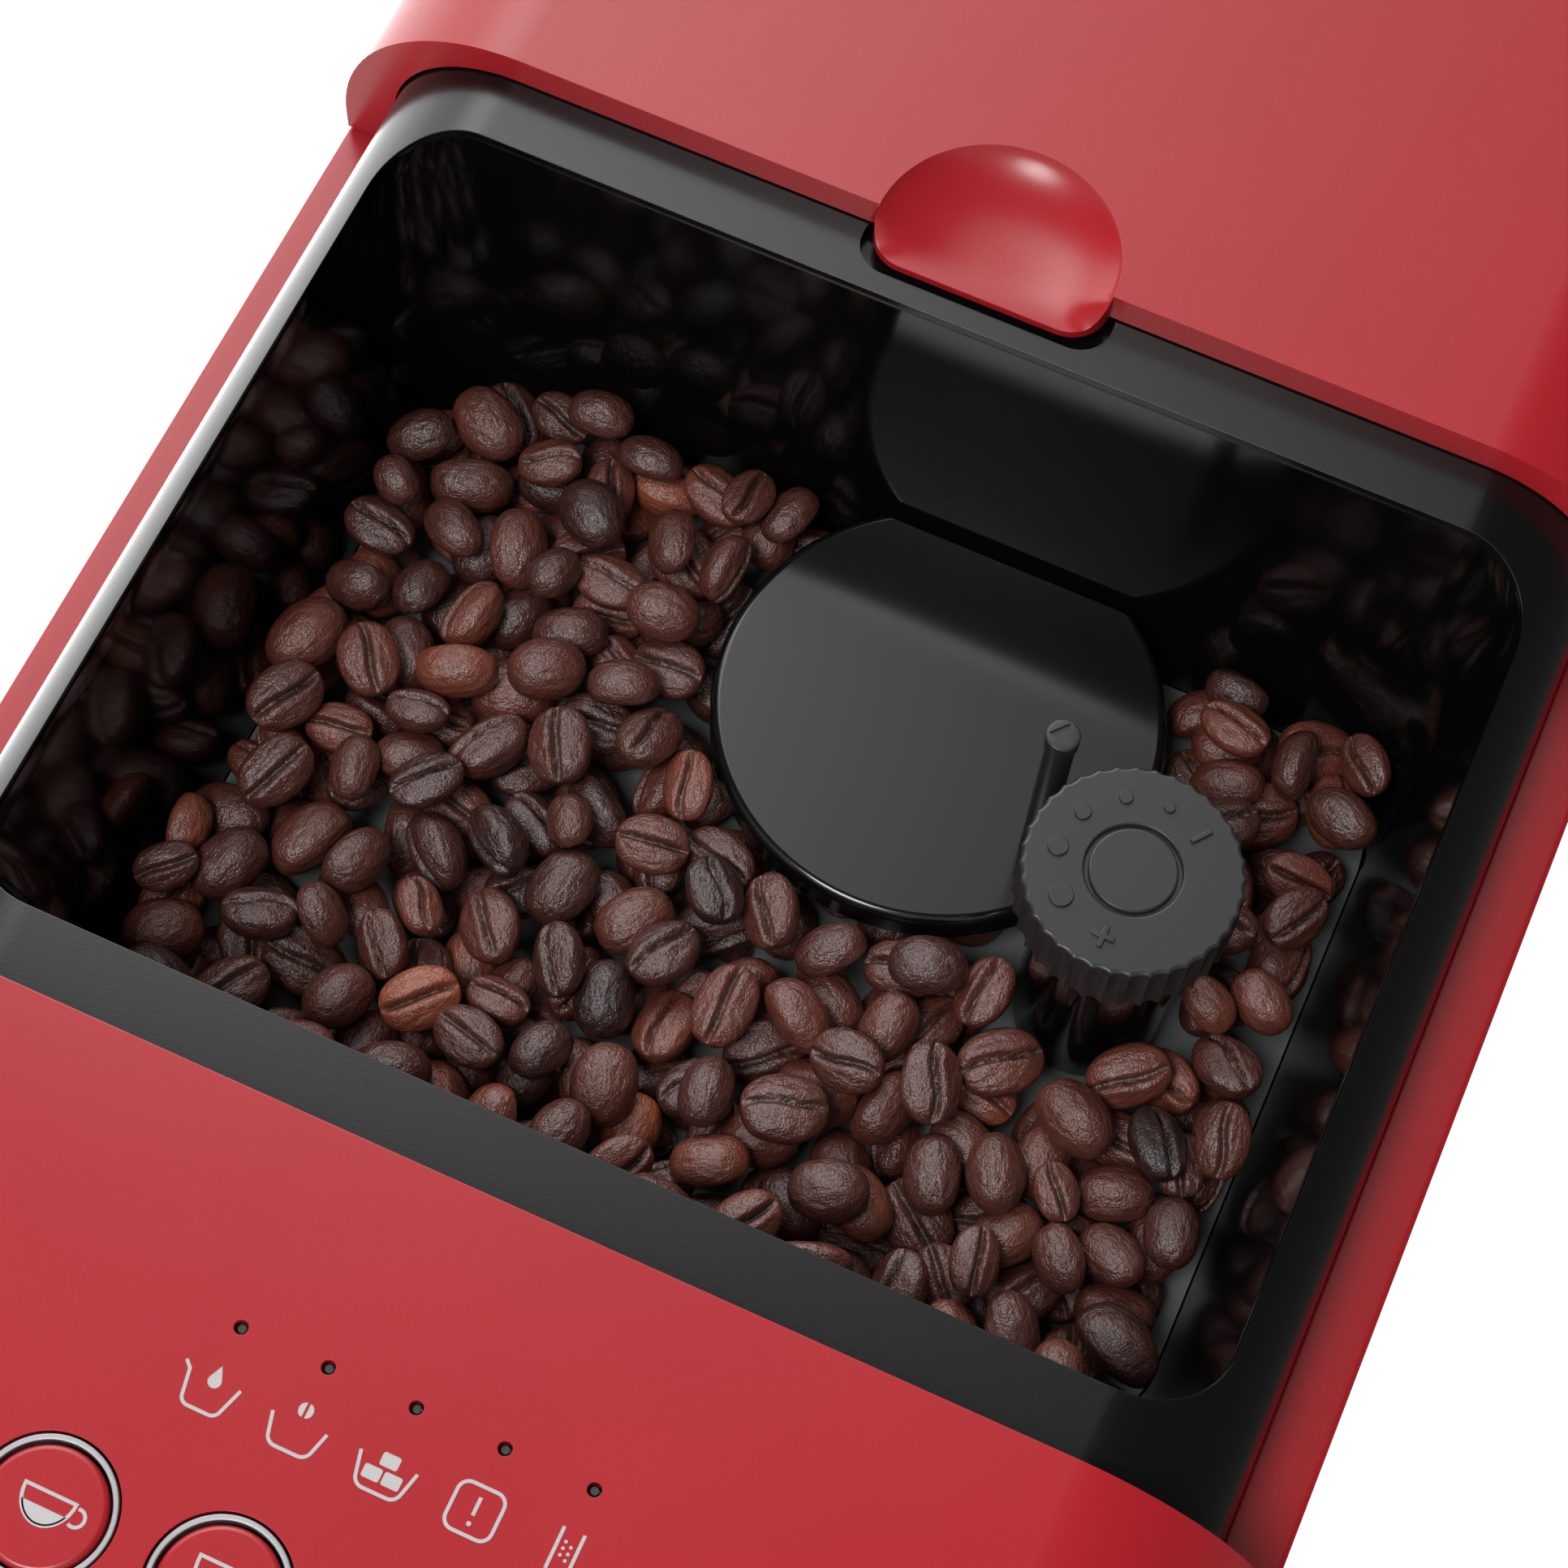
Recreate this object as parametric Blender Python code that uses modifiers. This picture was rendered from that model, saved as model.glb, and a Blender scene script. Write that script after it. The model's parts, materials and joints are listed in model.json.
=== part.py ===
"""Slim bean-to-cup coffee machine with a sliding hopper lid, built as separate pieces.

Metres, +Z up, +X to the right, front towards -Y.  The origin is the middle of the footprint.
"""
import math

import bmesh
import bpy
from mathutils import Euler, Matrix, Vector

# ---------------------------------------------------------------- driving dimensions
WIDTH = 0.180
DEPTH = 0.433
TOP = 0.339
HALF = WIDTH / 2
FRONT = -DEPTH / 2
BACK = DEPTH / 2
GAP = 0.0003

# outer skin: flat top, round shoulders, upright sides that stand on a ledge
SKIN_R = 0.0265
LID_WALL = 0.0038
COVER_WALL = 0.0025
LEDGE = 0.309
LEDGE_IN = 0.0826
LEDGE_T = 0.0025
PANEL_T = 0.0025

# black deck that carries the hopper opening
SEAM_Y = -0.1185
DECK_TOP = TOP - 0.0047
DECK_HALF = 0.0823
DECK_R = 0.0183
DECK_WALL = 0.0022
DECK_LOW = LEDGE - 0.011
DECK_BACK = 0.1560
OPEN_HALF = 0.0755
OPEN_FRONT = SEAM_Y + 0.0097
OPEN_BACK = SEAM_Y + 0.1224
OPEN_R = 0.0105
COLLAR_LOW = TOP - 0.0140
COLLAR_T = 0.0020
POCKET_HALF = 0.0155
POCKET_DEPTH = 0.0020
POCKET_R = 0.0018

# hopper bucket under the deck
HOPPER_TOP = COLLAR_LOW - GAP
HOPPER_FLOOR = TOP - 0.0625
HOPPER_TAPER = 0.0055
HOPPER_WALL = 0.0015
FLOOR_T = 0.0012
PLATE_TOP = HOPPER_FLOOR + GAP + FLOOR_T
BED_TOP = TOP - 0.0475
BED_INSET = 0.0008
THROAT_R = 0.0135

# grinder and its adjusting knob
GRIND_X = 0.0125
GRIND_Y = SEAM_Y + 0.0940
DISC_R = 0.0295
DISC_TOP = TOP - 0.0470
DISC_T = 0.0050
DISC_EDGE = 0.0018
NECK_R = 0.0165
NECK_WALL = 0.0025
KNOB_X = 0.0445
KNOB_Y = SEAM_Y + 0.0698
KNOB_R = 0.0133
KNOB_TOP = TOP - 0.0150
KNOB_H = 0.0100
KNOB_FLUTES = 32
FLUTE_DEPTH = 0.0007
SHAFT_R = 0.0030
PEDESTAL_R = 0.0096
POST_X = 0.0307
POST_Y = SEAM_Y + 0.0818
POST_R = 0.0021

# sliding lid, drawn back over the rear deck
LID_FRONT = SEAM_Y + 0.1313
LID_BACK = 0.1525
SCOOP_R = 0.0154
SCOOP_DEPTH = 0.0036
SCOOP_RISE = 0.0004
LIP_REACH = 0.0051
LIP_EDGE = 0.0008
LIP_CORNER = 0.0045
LIP_LOW = DECK_TOP + GAP

# control cover
BUTTON_Y = SEAM_Y - 0.0482
BUTTON_PITCH = 0.0197
BUTTON_COUNT = 4
BUTTON_R = 0.0066
BUTTON_SINK = 0.0001
RING_IN = 0.0069
RING_OUT = 0.0076
LENS_Y = SEAM_Y - 0.0235
LENS_PITCH = 0.0101
LENS_COUNT = 5
LENS_R = 0.00075
BOARD_HALF = 0.060
BOARD_TOP = TOP - 0.0144
BOARD_T = 0.0016

# head, niche, base
HEAD_LOW = 0.2365
NICHE_Y = -0.1220
BASE_LOW = 0.0060
BASE_TOP = 0.0120
SILL = 0.0520
FOOT_X = 0.068
FOOT_INSET = 0.030
NICHE_LOW = 0.1285
NICHE_HIGH = 0.2490
SLOT_HALF = 0.0125
SLOT_LOW = 0.1360
SLOT_HIGH = 0.2300

# spout and tray
SPOUT_LOW = 0.1420
SPOUT_HIGH = 0.2000
SPOUT_HALF = 0.0290
SPOUT_REACH = 0.0600
NOZZLE_X = 0.0110
RAIL_Y = NICHE_Y + 0.0122
GRATE_SLOTS = 13
GRATE_PITCH = 0.0118
GRATE_SLOT_HALF = 0.0022
GRATE_T = 0.0025
FLOAT_BACK = 0.0145
GROUNDS_HALF = 0.0700
GROUNDS_BACK = -0.0200
GROUNDS_HIGH = 0.1100
TRAY_LOW = BASE_TOP + 0.0015
INNER_HALF = HALF - PANEL_T - GAP

# tank bay
BAY_Y = DECK_BACK + GAP
TANK_HALF = 0.0820
TANK_LOW = 0.0560
TANK_FRONT = 0.1580
TANK_BACK = 0.2150
VALVE_Y = (TANK_FRONT + TANK_BACK) / 2

# service door
DOOR_Y0 = -0.1080
DOOR_Y1 = -0.0160
DOOR_Z0 = 0.1000
DOOR_Z1 = 0.2450
DOOR_AXIS_Y = DOOR_Y1 + 0.0019
DOOR_AXIS_X = HALF - 0.0013
DOOR_GAP = 0.0006
PIN_R = 0.0012

# mains inlet and rocker switch in the rear base
INLET_X = -0.055
INLET_Z = 0.033
INLET_HALF_W = 0.0140
INLET_HALF_H = 0.0105
INLET_DEPTH = 0.0220
SWITCH_X = -0.018
SWITCH_HALF_W = 0.0062
SWITCH_HALF_H = 0.0095

# works inside
BURR_TOP = HOPPER_FLOOR - HOPPER_WALL - GAP
SHELL_R = 0.0270
SHELL_WALL = 0.0030
SHELL_H = 0.0340
MOTOR_R = 0.0240
MOTOR_H = 0.0610
CHUTE_R = 0.0045
PUMP_R = 0.0175
PUMP_LENGTH = 0.0760

RED = (0.47, 0.018, 0.026)
BLACK = (0.016, 0.016, 0.017)
GREY = (0.07, 0.07, 0.072)
STEEL = (0.55, 0.55, 0.56)


# ---------------------------------------------------------------- scene and helpers
def clear_scene():
    for item in list(bpy.data.objects):
        bpy.data.objects.remove(item)
    for group in list(bpy.data.collections):
        bpy.data.collections.remove(group)


def make_collection(name):
    group = bpy.data.collections.new(name)
    bpy.context.scene.collection.children.link(group)
    return group


clear_scene()
PARTS = make_collection("coffee_machine")
CUTTERS = make_collection("cutters")


def finish(name, colour, roughness, metallic=0.0):
    """A plain Principled finish, made once and shared by name."""
    found = bpy.data.materials.get(name)
    if found:
        return found
    made = bpy.data.materials.new(name)
    made.use_nodes = True
    shader = made.node_tree.nodes["Principled BSDF"]
    shader.inputs["Base Color"].default_value = (*colour, 1.0)
    shader.inputs["Roughness"].default_value = roughness
    shader.inputs["Metallic"].default_value = metallic
    return made


def red():
    return finish("red_satin", RED, 0.35)


def black_gloss():
    return finish("black_gloss", BLACK, 0.12)


def black_satin():
    return finish("black_satin", BLACK, 0.4)


def dark_grey():
    return finish("dark_grey", GREY, 0.45)


def steel():
    return finish("steel", STEEL, 0.3, 1.0)


def place(name, mesh, material, location=(0, 0, 0), hidden=False):
    """Put a mesh in the scene, as a piece or, if hidden, as a cutter."""
    item = bpy.data.objects.new(name, mesh)
    item.location = location
    if material:
        mesh.materials.append(material)
    (CUTTERS if hidden else PARTS).objects.link(item)
    item.hide_render = hidden
    if hidden:
        item.display_type = "WIRE"
    return item


def box(name, low, high, material=None, hidden=False, round_edges=0.0):
    """A block between two corners, with its origin at its middle."""
    low, high = Vector(low), Vector(high)
    size = high - low
    shape = bmesh.new()
    bmesh.ops.create_cube(shape, size=1.0)
    bmesh.ops.scale(shape, vec=size, verts=shape.verts)
    mesh = bpy.data.meshes.new(name)
    shape.to_mesh(mesh)
    shape.free()
    item = place(name, mesh, material, (low + high) / 2, hidden)
    if round_edges:
        soften(item, round_edges)
    return item


def soften(item, width, segments=2, angle=40):
    """Rounded edges wherever two faces meet at more than the given angle."""
    bevel = item.modifiers.new("edges", "BEVEL")
    bevel.width = width
    bevel.segments = segments
    bevel.limit_method = "ANGLE"
    bevel.angle_limit = math.radians(angle)
    bevel.harden_normals = False


def cylinder(name, radius, low, high, x, y, material=None, hidden=False, sides=40):
    """An upright cylinder between two heights."""
    shape = bmesh.new()
    bmesh.ops.create_cone(shape, cap_ends=True, segments=sides, radius1=radius, radius2=radius,
                          depth=high - low)
    mesh = bpy.data.meshes.new(name)
    shape.to_mesh(mesh)
    shape.free()
    item = place(name, mesh, material, (x, y, (low + high) / 2), hidden)
    if not hidden:
        smooth(item)
    return item


def smooth(item):
    item.data.shade_smooth()
    item.data.set_sharp_from_angle(angle=math.radians(35))


def turned(name, profile, location, material, sides=40):
    """A turned piece: the profile runs down its outer side, from radius and height pairs."""
    mesh = bpy.data.meshes.new(name)
    points = [(radius, 0.0, height) for radius, height in profile]
    edges = [(i, i + 1) for i in range(len(points) - 1)]
    mesh.from_pydata(points, edges, [])
    item = place(name, mesh, material, location)
    screw = item.modifiers.new("turn", "SCREW")
    screw.steps = sides
    screw.render_steps = sides
    screw.use_merge_vertices = True
    screw.merge_threshold = 0.00005
    screw.use_normal_calculate = False
    screw.use_smooth_shade = True
    return item


def outline_solid(name, outline, axis, low, high, material=None, hidden=False):
    """A flat outline pushed from low to high along X, Y or Z, as a closed mesh.

    Along X the outline is (y, z), along Y it is (x, z) and along Z it is (x, y).
    """
    curve = bpy.data.curves.new(name, "CURVE")
    curve.dimensions = "2D"
    curve.fill_mode = "BOTH"
    curve.extrude = (high - low) / 2
    line = curve.splines.new("POLY")
    line.points.add(len(outline) - 1)
    for point, (u, v) in zip(line.points, outline):
        point.co = (u, v, 0.0, 1.0)
    line.use_cyclic_u = True
    flat = bpy.data.objects.new(name + "_outline", curve)
    CUTTERS.objects.link(flat)
    middle = (high + low) / 2
    turns = {
        "X": (Matrix(((0, 0, 1, middle), (1, 0, 0, 0), (0, 1, 0, 0), (0, 0, 0, 1)))),
        "Y": (Matrix(((1, 0, 0, 0), (0, 0, -1, middle), (0, 1, 0, 0), (0, 0, 0, 1)))),
        "Z": (Matrix(((1, 0, 0, 0), (0, 1, 0, 0), (0, 0, 1, middle), (0, 0, 0, 1)))),
    }
    flat.matrix_world = turns[axis]
    bpy.context.view_layer.update()
    graph = bpy.context.evaluated_depsgraph_get()
    mesh = bpy.data.meshes.new_from_object(flat.evaluated_get(graph))
    mesh.name = name
    weld(mesh)
    item = place(name, mesh, material, hidden=hidden)
    item.matrix_world = turns[axis]
    bpy.data.objects.remove(flat)
    return item


def weld(mesh):
    shape = bmesh.new()
    shape.from_mesh(mesh)
    bmesh.ops.remove_doubles(shape, verts=shape.verts, dist=0.000005)
    bmesh.ops.recalc_face_normals(shape, faces=shape.faces)
    shape.to_mesh(mesh)
    shape.free()


def rounded(corners, steps=5):
    """An outline from (u, v, radius) corners, with an arc at each corner that has a radius."""
    outline = []
    count = len(corners)
    for i, (u, v, radius) in enumerate(corners):
        here = Vector((u, v))
        if radius <= 0:
            outline.append((u, v))
            continue
        before = (Vector(corners[i - 1][:2]) - here).normalized()
        after = (Vector(corners[(i + 1) % count][:2]) - here).normalized()
        half_angle = before.angle(after) / 2
        reach = radius / math.tan(half_angle)
        centre = here + (before + after).normalized() * (radius / math.sin(half_angle))
        start = here + before * reach - centre
        sweep = start.angle_signed(here + after * reach - centre)
        for k in range(steps + 1):
            turn = -sweep * k / steps
            spoke = Vector((start.x * math.cos(turn) - start.y * math.sin(turn),
                            start.x * math.sin(turn) + start.y * math.cos(turn)))
            outline.append(tuple(centre + spoke))
    return outline


def rounded_box_outline(half, low, high, radius, steps=5):
    return rounded([(-half, low, radius), (half, low, radius), (half, high, radius),
                    (-half, high, radius)], steps)


def arch(half, top, radius, bottom, steps=9):
    """Cross-section with a flat top, round shoulders and upright sides, as (x, z)."""
    return rounded([(-half, bottom, 0), (half, bottom, 0), (half, top, radius),
                    (-half, top, radius)], steps)


def boolean(item, other, operation):
    step = item.modifiers.new(operation.lower(), "BOOLEAN")
    step.operation = operation
    step.solver = "EXACT"
    step.object = other
    return item


def cut(item, *others):
    for other in others:
        boolean(item, other, "DIFFERENCE")
    return item


def join(item, *others):
    for other in others:
        boolean(item, other, "UNION")
    return item


def common(item, other):
    return boolean(item, other, "INTERSECT")


def loft(name, rings, material=None, hidden=False):
    """A closed solid through rings of points that all have the same count, listed top to bottom."""
    shape = bmesh.new()
    rows = [[shape.verts.new(point) for point in ring] for ring in rings]
    count = len(rows[0])
    for upper, lower in zip(rows, rows[1:]):
        for i in range(count):
            j = (i + 1) % count
            shape.faces.new((upper[i], upper[j], lower[j], lower[i]))
    shape.faces.new(rows[0])
    shape.faces.new(list(reversed(rows[-1])))
    bmesh.ops.recalc_face_normals(shape, faces=shape.faces)
    mesh = bpy.data.meshes.new(name)
    shape.to_mesh(mesh)
    shape.free()
    return place(name, mesh, material, hidden=hidden)


def bar(name, points, radius, material, resolution=3):
    """A round bar or tube along a few points, with filled caps, as a mesh."""
    curve = bpy.data.curves.new(name, "CURVE")
    curve.dimensions = "3D"
    curve.bevel_depth = radius
    curve.bevel_resolution = resolution
    curve.use_fill_caps = True
    line = curve.splines.new("POLY")
    line.points.add(len(points) - 1)
    for point, place_at in zip(line.points, points):
        point.co = (*place_at, 1.0)
    item = bpy.data.objects.new(name, curve)
    curve.materials.append(material)
    PARTS.objects.link(item)
    return item


# ---------------------------------------------------------------- deck and hopper
def deck_opening(grow, low, high, name):
    outline = rounded_box_outline(OPEN_HALF + grow, OPEN_FRONT - grow, OPEN_BACK + grow,
                                  OPEN_R + grow, 7)
    return outline_solid(name, outline, "Z", low, high, hidden=True)


def make_deck():
    """Black surround: an arched cover with a collar round the opening and two lip pockets."""
    outer = arch(DECK_HALF, DECK_TOP, DECK_R, DECK_LOW)
    deck = outline_solid("hopper_bezel", outer, "Y", SEAM_Y + GAP, DECK_BACK, black_satin())
    inner = arch(DECK_HALF - DECK_WALL, DECK_TOP - DECK_WALL, DECK_R - DECK_WALL, DECK_LOW - 0.01)
    hollow = outline_solid("deck_hollow", inner, "Y", SEAM_Y + DECK_WALL, DECK_BACK - DECK_WALL,
                           hidden=True)
    cut(hollow, deck_opening(COLLAR_T, COLLAR_LOW, TOP + 0.01, "collar_keep"))
    cut(deck, hollow, deck_opening(0.0, DECK_LOW - 0.02, TOP + 0.02, "opening"))
    cut(deck, lip_pocket(LID_FRONT - 0.0045, LID_FRONT + 0.0030, POCKET_HALF, "rear_pocket"))
    cut(deck, lip_pocket(SEAM_Y - 0.0010, SEAM_Y + 0.0030, POCKET_HALF / 2, "front_pocket"))


def lip_pocket(near, far, half, name):
    outline = rounded_box_outline(half, near, far, POCKET_R, 3)
    return outline_solid(name, outline, "Z", DECK_TOP - POCKET_DEPTH, TOP, hidden=True)


def hopper_ring(height, grow):
    """The bucket's section at a height: it tapers inwards as it goes down."""
    drop = (HOPPER_TOP - height) / (HOPPER_TOP - HOPPER_FLOOR)
    inset = HOPPER_TAPER * drop - grow
    outline = rounded_box_outline(OPEN_HALF - inset, OPEN_FRONT + inset, OPEN_BACK - inset,
                                  OPEN_R + 0.004 * drop, 6)
    return [(x, y, height) for x, y in outline]


def make_hopper():
    outside = [hopper_ring(HOPPER_TOP, HOPPER_WALL),
               hopper_ring(HOPPER_FLOOR - HOPPER_WALL, HOPPER_WALL)]
    bucket = loft("bean_hopper", outside, black_gloss())
    inside = [hopper_ring(HOPPER_TOP + 0.002, 0.0), hopper_ring(HOPPER_FLOOR, 0.0)]
    cut(bucket, loft("bucket_hollow", inside, hidden=True))
    cut(bucket, throat("throat"))
    plate = loft("hopper_floor", [hopper_ring(HOPPER_FLOOR + GAP + FLOOR_T, -GAP),
                                  hopper_ring(HOPPER_FLOOR + GAP, -GAP)],
                 finish("pale_floor", (0.55, 0.56, 0.56), 0.4))
    cut(plate, throat("plate_throat"))


def throat(name):
    """The round way down from the hopper into the burrs."""
    return cylinder(name, THROAT_R, HOPPER_FLOOR - 0.01, HOPPER_FLOOR + 0.01, GRIND_X, GRIND_Y,
                    hidden=True)


def make_beans():
    """The loose fill of beans, as one plain body round the grinder cover and the knob's stem."""
    low = PLATE_TOP + GAP
    bed = loft("bean_bed", [hopper_ring(BED_TOP, -BED_INSET), hopper_ring(low, -BED_INSET)],
               finish("roast", (0.09, 0.03, 0.018), 0.4))
    cut(bed, cylinder("bed_disc", DISC_R + 0.0006, low - 0.01, TOP, GRIND_X, GRIND_Y, hidden=True))
    cut(bed, cylinder("bed_stem", PEDESTAL_R + 0.0005, low - 0.01, TOP, KNOB_X, KNOB_Y, hidden=True,
                      sides=24))


def make_grinder_cover():
    """Round cover over the throat, cut straight along the rear wall, on a hollow neck."""
    low = PLATE_TOP + GAP
    under = DISC_TOP - DISC_T
    inner = NECK_R - NECK_WALL
    profile = [(0.0, DISC_TOP), (DISC_R - DISC_EDGE * 1.6, DISC_TOP),
               (DISC_R - DISC_EDGE * 0.5, DISC_TOP - DISC_EDGE * 0.3), (DISC_R, DISC_TOP - DISC_EDGE),
               (DISC_R, under), (NECK_R, under), (NECK_R, low), (inner, low), (inner, under + 0.001),
               (0.0, under + 0.001)]
    cover = turned("grinder_cover", profile, (GRIND_X, GRIND_Y, 0), dark_grey(), 56)
    wall = OPEN_BACK - HOPPER_TAPER * (HOPPER_TOP - DISC_TOP) / (HOPPER_TOP - HOPPER_FLOOR)
    behind = box("disc_chord", (-0.05, wall - 0.0016, DISC_TOP - 0.012), (0.07, wall + 0.03, TOP),
                 hidden=True)
    window_z = PLATE_TOP + 0.0015
    window = box("neck_window", (GRIND_X - 0.04, GRIND_Y - 0.006, window_z),
                 (GRIND_X + 0.04, GRIND_Y + 0.006, window_z + 0.0065), hidden=True)
    cut(cover, behind, window)


def knob_outline(count, radius, depth, per_flute=4):
    """A round outline with shallow scallops."""
    total = count * per_flute
    outline = []
    for i in range(total):
        angle = 2 * math.pi * i / total
        wave = abs(math.sin(math.pi * i / per_flute))
        reach = radius - depth * (1 - wave)
        outline.append((reach * math.cos(angle), reach * math.sin(angle)))
    return outline


def make_knob():
    """Fluted knob, origin on its own axis, with a shaft that runs down the pedestal's bore."""
    low = KNOB_TOP - KNOB_H
    knob = outline_solid("grind_knob", knob_outline(KNOB_FLUTES, KNOB_R, FLUTE_DEPTH), "Z", low,
                         KNOB_TOP, dark_grey())
    knob.location.x = KNOB_X
    knob.location.y = KNOB_Y
    join(knob, cylinder("knob_shaft", SHAFT_R, PLATE_TOP + 0.012, low + 0.002, KNOB_X, KNOB_Y,
                        hidden=True, sides=24))
    groove = cylinder("knob_groove", 0.0058, KNOB_TOP - 0.0005, KNOB_TOP + 0.001, KNOB_X, KNOB_Y,
                      hidden=True)
    cut(groove, cylinder("knob_island", 0.0052, KNOB_TOP - 0.001, KNOB_TOP + 0.002, KNOB_X, KNOB_Y,
                         hidden=True))
    cut(knob, groove)


def make_knob_stand():
    """The pedestal that carries the knob, and the pointer post beside it."""
    base = PLATE_TOP + GAP
    high = KNOB_TOP - KNOB_H - GAP
    stand = cylinder("knob_pedestal", PEDESTAL_R, base, high, KNOB_X, KNOB_Y, black_gloss(), sides=48)
    cut(stand, cylinder("pedestal_bore", SHAFT_R + GAP, PLATE_TOP + 0.010, TOP, KNOB_X, KNOB_Y,
                        hidden=True, sides=24))
    cylinder("pointer_post", POST_R, DISC_TOP + GAP, KNOB_TOP + 0.0010, POST_X, POST_Y, dark_grey(),
             sides=24)


# ---------------------------------------------------------------- lid and control cover
def scoop_cutter():
    """Finger scoop: half a bowl behind the lid's edge, drawn out forwards as a trough."""
    shape = bmesh.new()
    bmesh.ops.create_uvsphere(shape, u_segments=44, v_segments=20, radius=1.0)
    bmesh.ops.rotate(shape, matrix=Matrix.Rotation(math.radians(2), 3, "Z"), verts=shape.verts)
    bmesh.ops.scale(shape, vec=(SCOOP_R, SCOOP_R, SCOOP_DEPTH + SCOOP_RISE), verts=shape.verts)
    everything = shape.verts[:] + shape.edges[:] + shape.faces[:]
    bmesh.ops.bisect_plane(shape, geom=everything, plane_co=(0, 0, 0), plane_no=(0, 1, 0),
                           clear_inner=True)
    rim = [edge for edge in shape.edges if edge.is_boundary]
    grown = bmesh.ops.extrude_edge_only(shape, edges=rim)["geom"]
    far_verts = [part for part in grown if isinstance(part, bmesh.types.BMVert)]
    bmesh.ops.translate(shape, vec=(0, -0.02, 0), verts=far_verts)
    bmesh.ops.contextual_create(shape, geom=[edge for edge in shape.edges if edge.is_boundary])
    bmesh.ops.recalc_face_normals(shape, faces=shape.faces)
    mesh = bpy.data.meshes.new("scoop_bowl")
    shape.to_mesh(mesh)
    shape.free()
    return place("scoop_bowl", mesh, None, (0, LID_FRONT, TOP + SCOOP_RISE), hidden=True)


def make_lid():
    """Arched lid that slides on the side ledges, with the scoop's lip reaching forwards."""
    low = LEDGE + GAP
    lid = outline_solid("sliding_lid", arch(HALF, TOP, SKIN_R, low, 11), "Y", LID_FRONT, LID_BACK, red())
    inner = arch(HALF - LID_WALL, TOP - LID_WALL, SKIN_R - LID_WALL, low - 0.01, 11)
    cut(lid, outline_solid("lid_hollow", inner, "Y", LID_FRONT - 0.01, LID_BACK + 0.01, hidden=True))
    half = SCOOP_R + LIP_EDGE
    near, far = LID_FRONT - LIP_REACH, LID_FRONT + SCOOP_R + LIP_EDGE
    lip = rounded([(-half, near, LIP_CORNER), (half, near, LIP_CORNER), (half, far, 0.012),
                   (-half, far, 0.012)], 6)
    join(lid, outline_solid("scoop_floor", lip, "Z", LIP_LOW, TOP - 0.0025, hidden=True))
    cut(lid, scoop_cutter())


def cover_body(name, inset, rear, low, material=None, hidden=False):
    """The cover's outer form, or with an inset its inside: shoulders to the sides and to the front."""
    radius = SKIN_R - inset
    along = outline_solid(name, arch(HALF - inset, TOP - inset, radius, low, 11), "Y",
                          FRONT + inset, rear, material, hidden)
    side = rounded([(FRONT + inset, low - 0.001, 0), (rear + 0.01, low - 0.001, 0),
                    (rear + 0.01, TOP - inset, 0), (FRONT + inset, TOP - inset, radius)], 11)
    return common(along, outline_solid(name + "_side", side, "X", -0.1, 0.1, hidden=True))


def row(count, pitch):
    """Places of a row of pieces, centred on zero."""
    return [(i - (count - 1) / 2) * pitch for i in range(count)]


def make_cover():
    """Red control cover, with holes for the button rings and the small indicator lenses."""
    cover = cover_body("control_cover", 0.0, SEAM_Y, LEDGE + GAP, red())
    cut(cover, cover_body("cover_hollow", COVER_WALL, SEAM_Y - COVER_WALL, LEDGE - 0.01, hidden=True))
    for i, x in enumerate(row(BUTTON_COUNT, BUTTON_PITCH)):
        cut(cover, cylinder(f"button_hole_{i + 1}", RING_OUT + GAP, TOP - 0.01, TOP + 0.01, x,
                            BUTTON_Y, hidden=True))
    for i, x in enumerate(row(LENS_COUNT, LENS_PITCH)):
        cut(cover, cylinder(f"lens_hole_{i + 1}", LENS_R, TOP - 0.01, TOP + 0.01, x, LENS_Y,
                            hidden=True, sides=16))


def make_buttons():
    """Four round push buttons in metal rings, and five small lenses over their circuit board."""
    flat = TOP - BUTTON_SINK
    for i, x in enumerate(row(BUTTON_COUNT, BUTTON_PITCH)):
        cap = [(0.0, 0.0), (BUTTON_R - 0.0007, -0.0001), (BUTTON_R - 0.0002, -0.0003),
               (BUTTON_R, -0.0008), (BUTTON_R, -0.0075), (0.0, -0.0075)]
        turned(f"coffee_button_{i + 1}", cap, (x, BUTTON_Y, flat), red(), 32)
        ring = [(RING_IN, -0.0004), (RING_IN + 0.0003, 0.0), (RING_OUT - 0.0002, 0.0),
                (RING_OUT, -0.0003), (RING_OUT, -0.0055), (RING_IN, -0.0055), (RING_IN, -0.0004)]
        turned(f"button_ring_{i + 1}", ring, (x, BUTTON_Y, flat), steel(), 32)
    for i, x in enumerate(row(LENS_COUNT, LENS_PITCH)):
        stem = LENS_R - GAP
        lens = [(0.0, -0.0007), (stem, -0.0007), (stem, -0.0029), (stem * 3.5, -0.0029),
                (stem * 3.5, -0.0045), (0.0, -0.0045)]
        turned(f"status_lens_{i + 1}", lens, (x, LENS_Y, TOP), finish("lens", (0.1, 0.11, 0.11), 0.2),
               16)
    box("control_board", (-BOARD_HALF, FRONT + 0.035, BOARD_TOP - BOARD_T),
        (BOARD_HALF, SEAM_Y - 0.006, BOARD_TOP), finish("board", (0.02, 0.12, 0.05), 0.5))


# ---------------------------------------------------------------- casing
def side_outline():
    """Side of the machine: the head reaches forwards over the drip tray."""
    return rounded([(FRONT, BASE_LOW, 0.006), (BACK, BASE_LOW, 0.006), (BACK, LEDGE, 0),
                    (FRONT, LEDGE, 0), (FRONT, HEAD_LOW, 0.004), (NICHE_Y, HEAD_LOW, 0.008),
                    (NICHE_Y, SILL, 0.008), (FRONT, SILL, 0.004)], 4)


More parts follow.
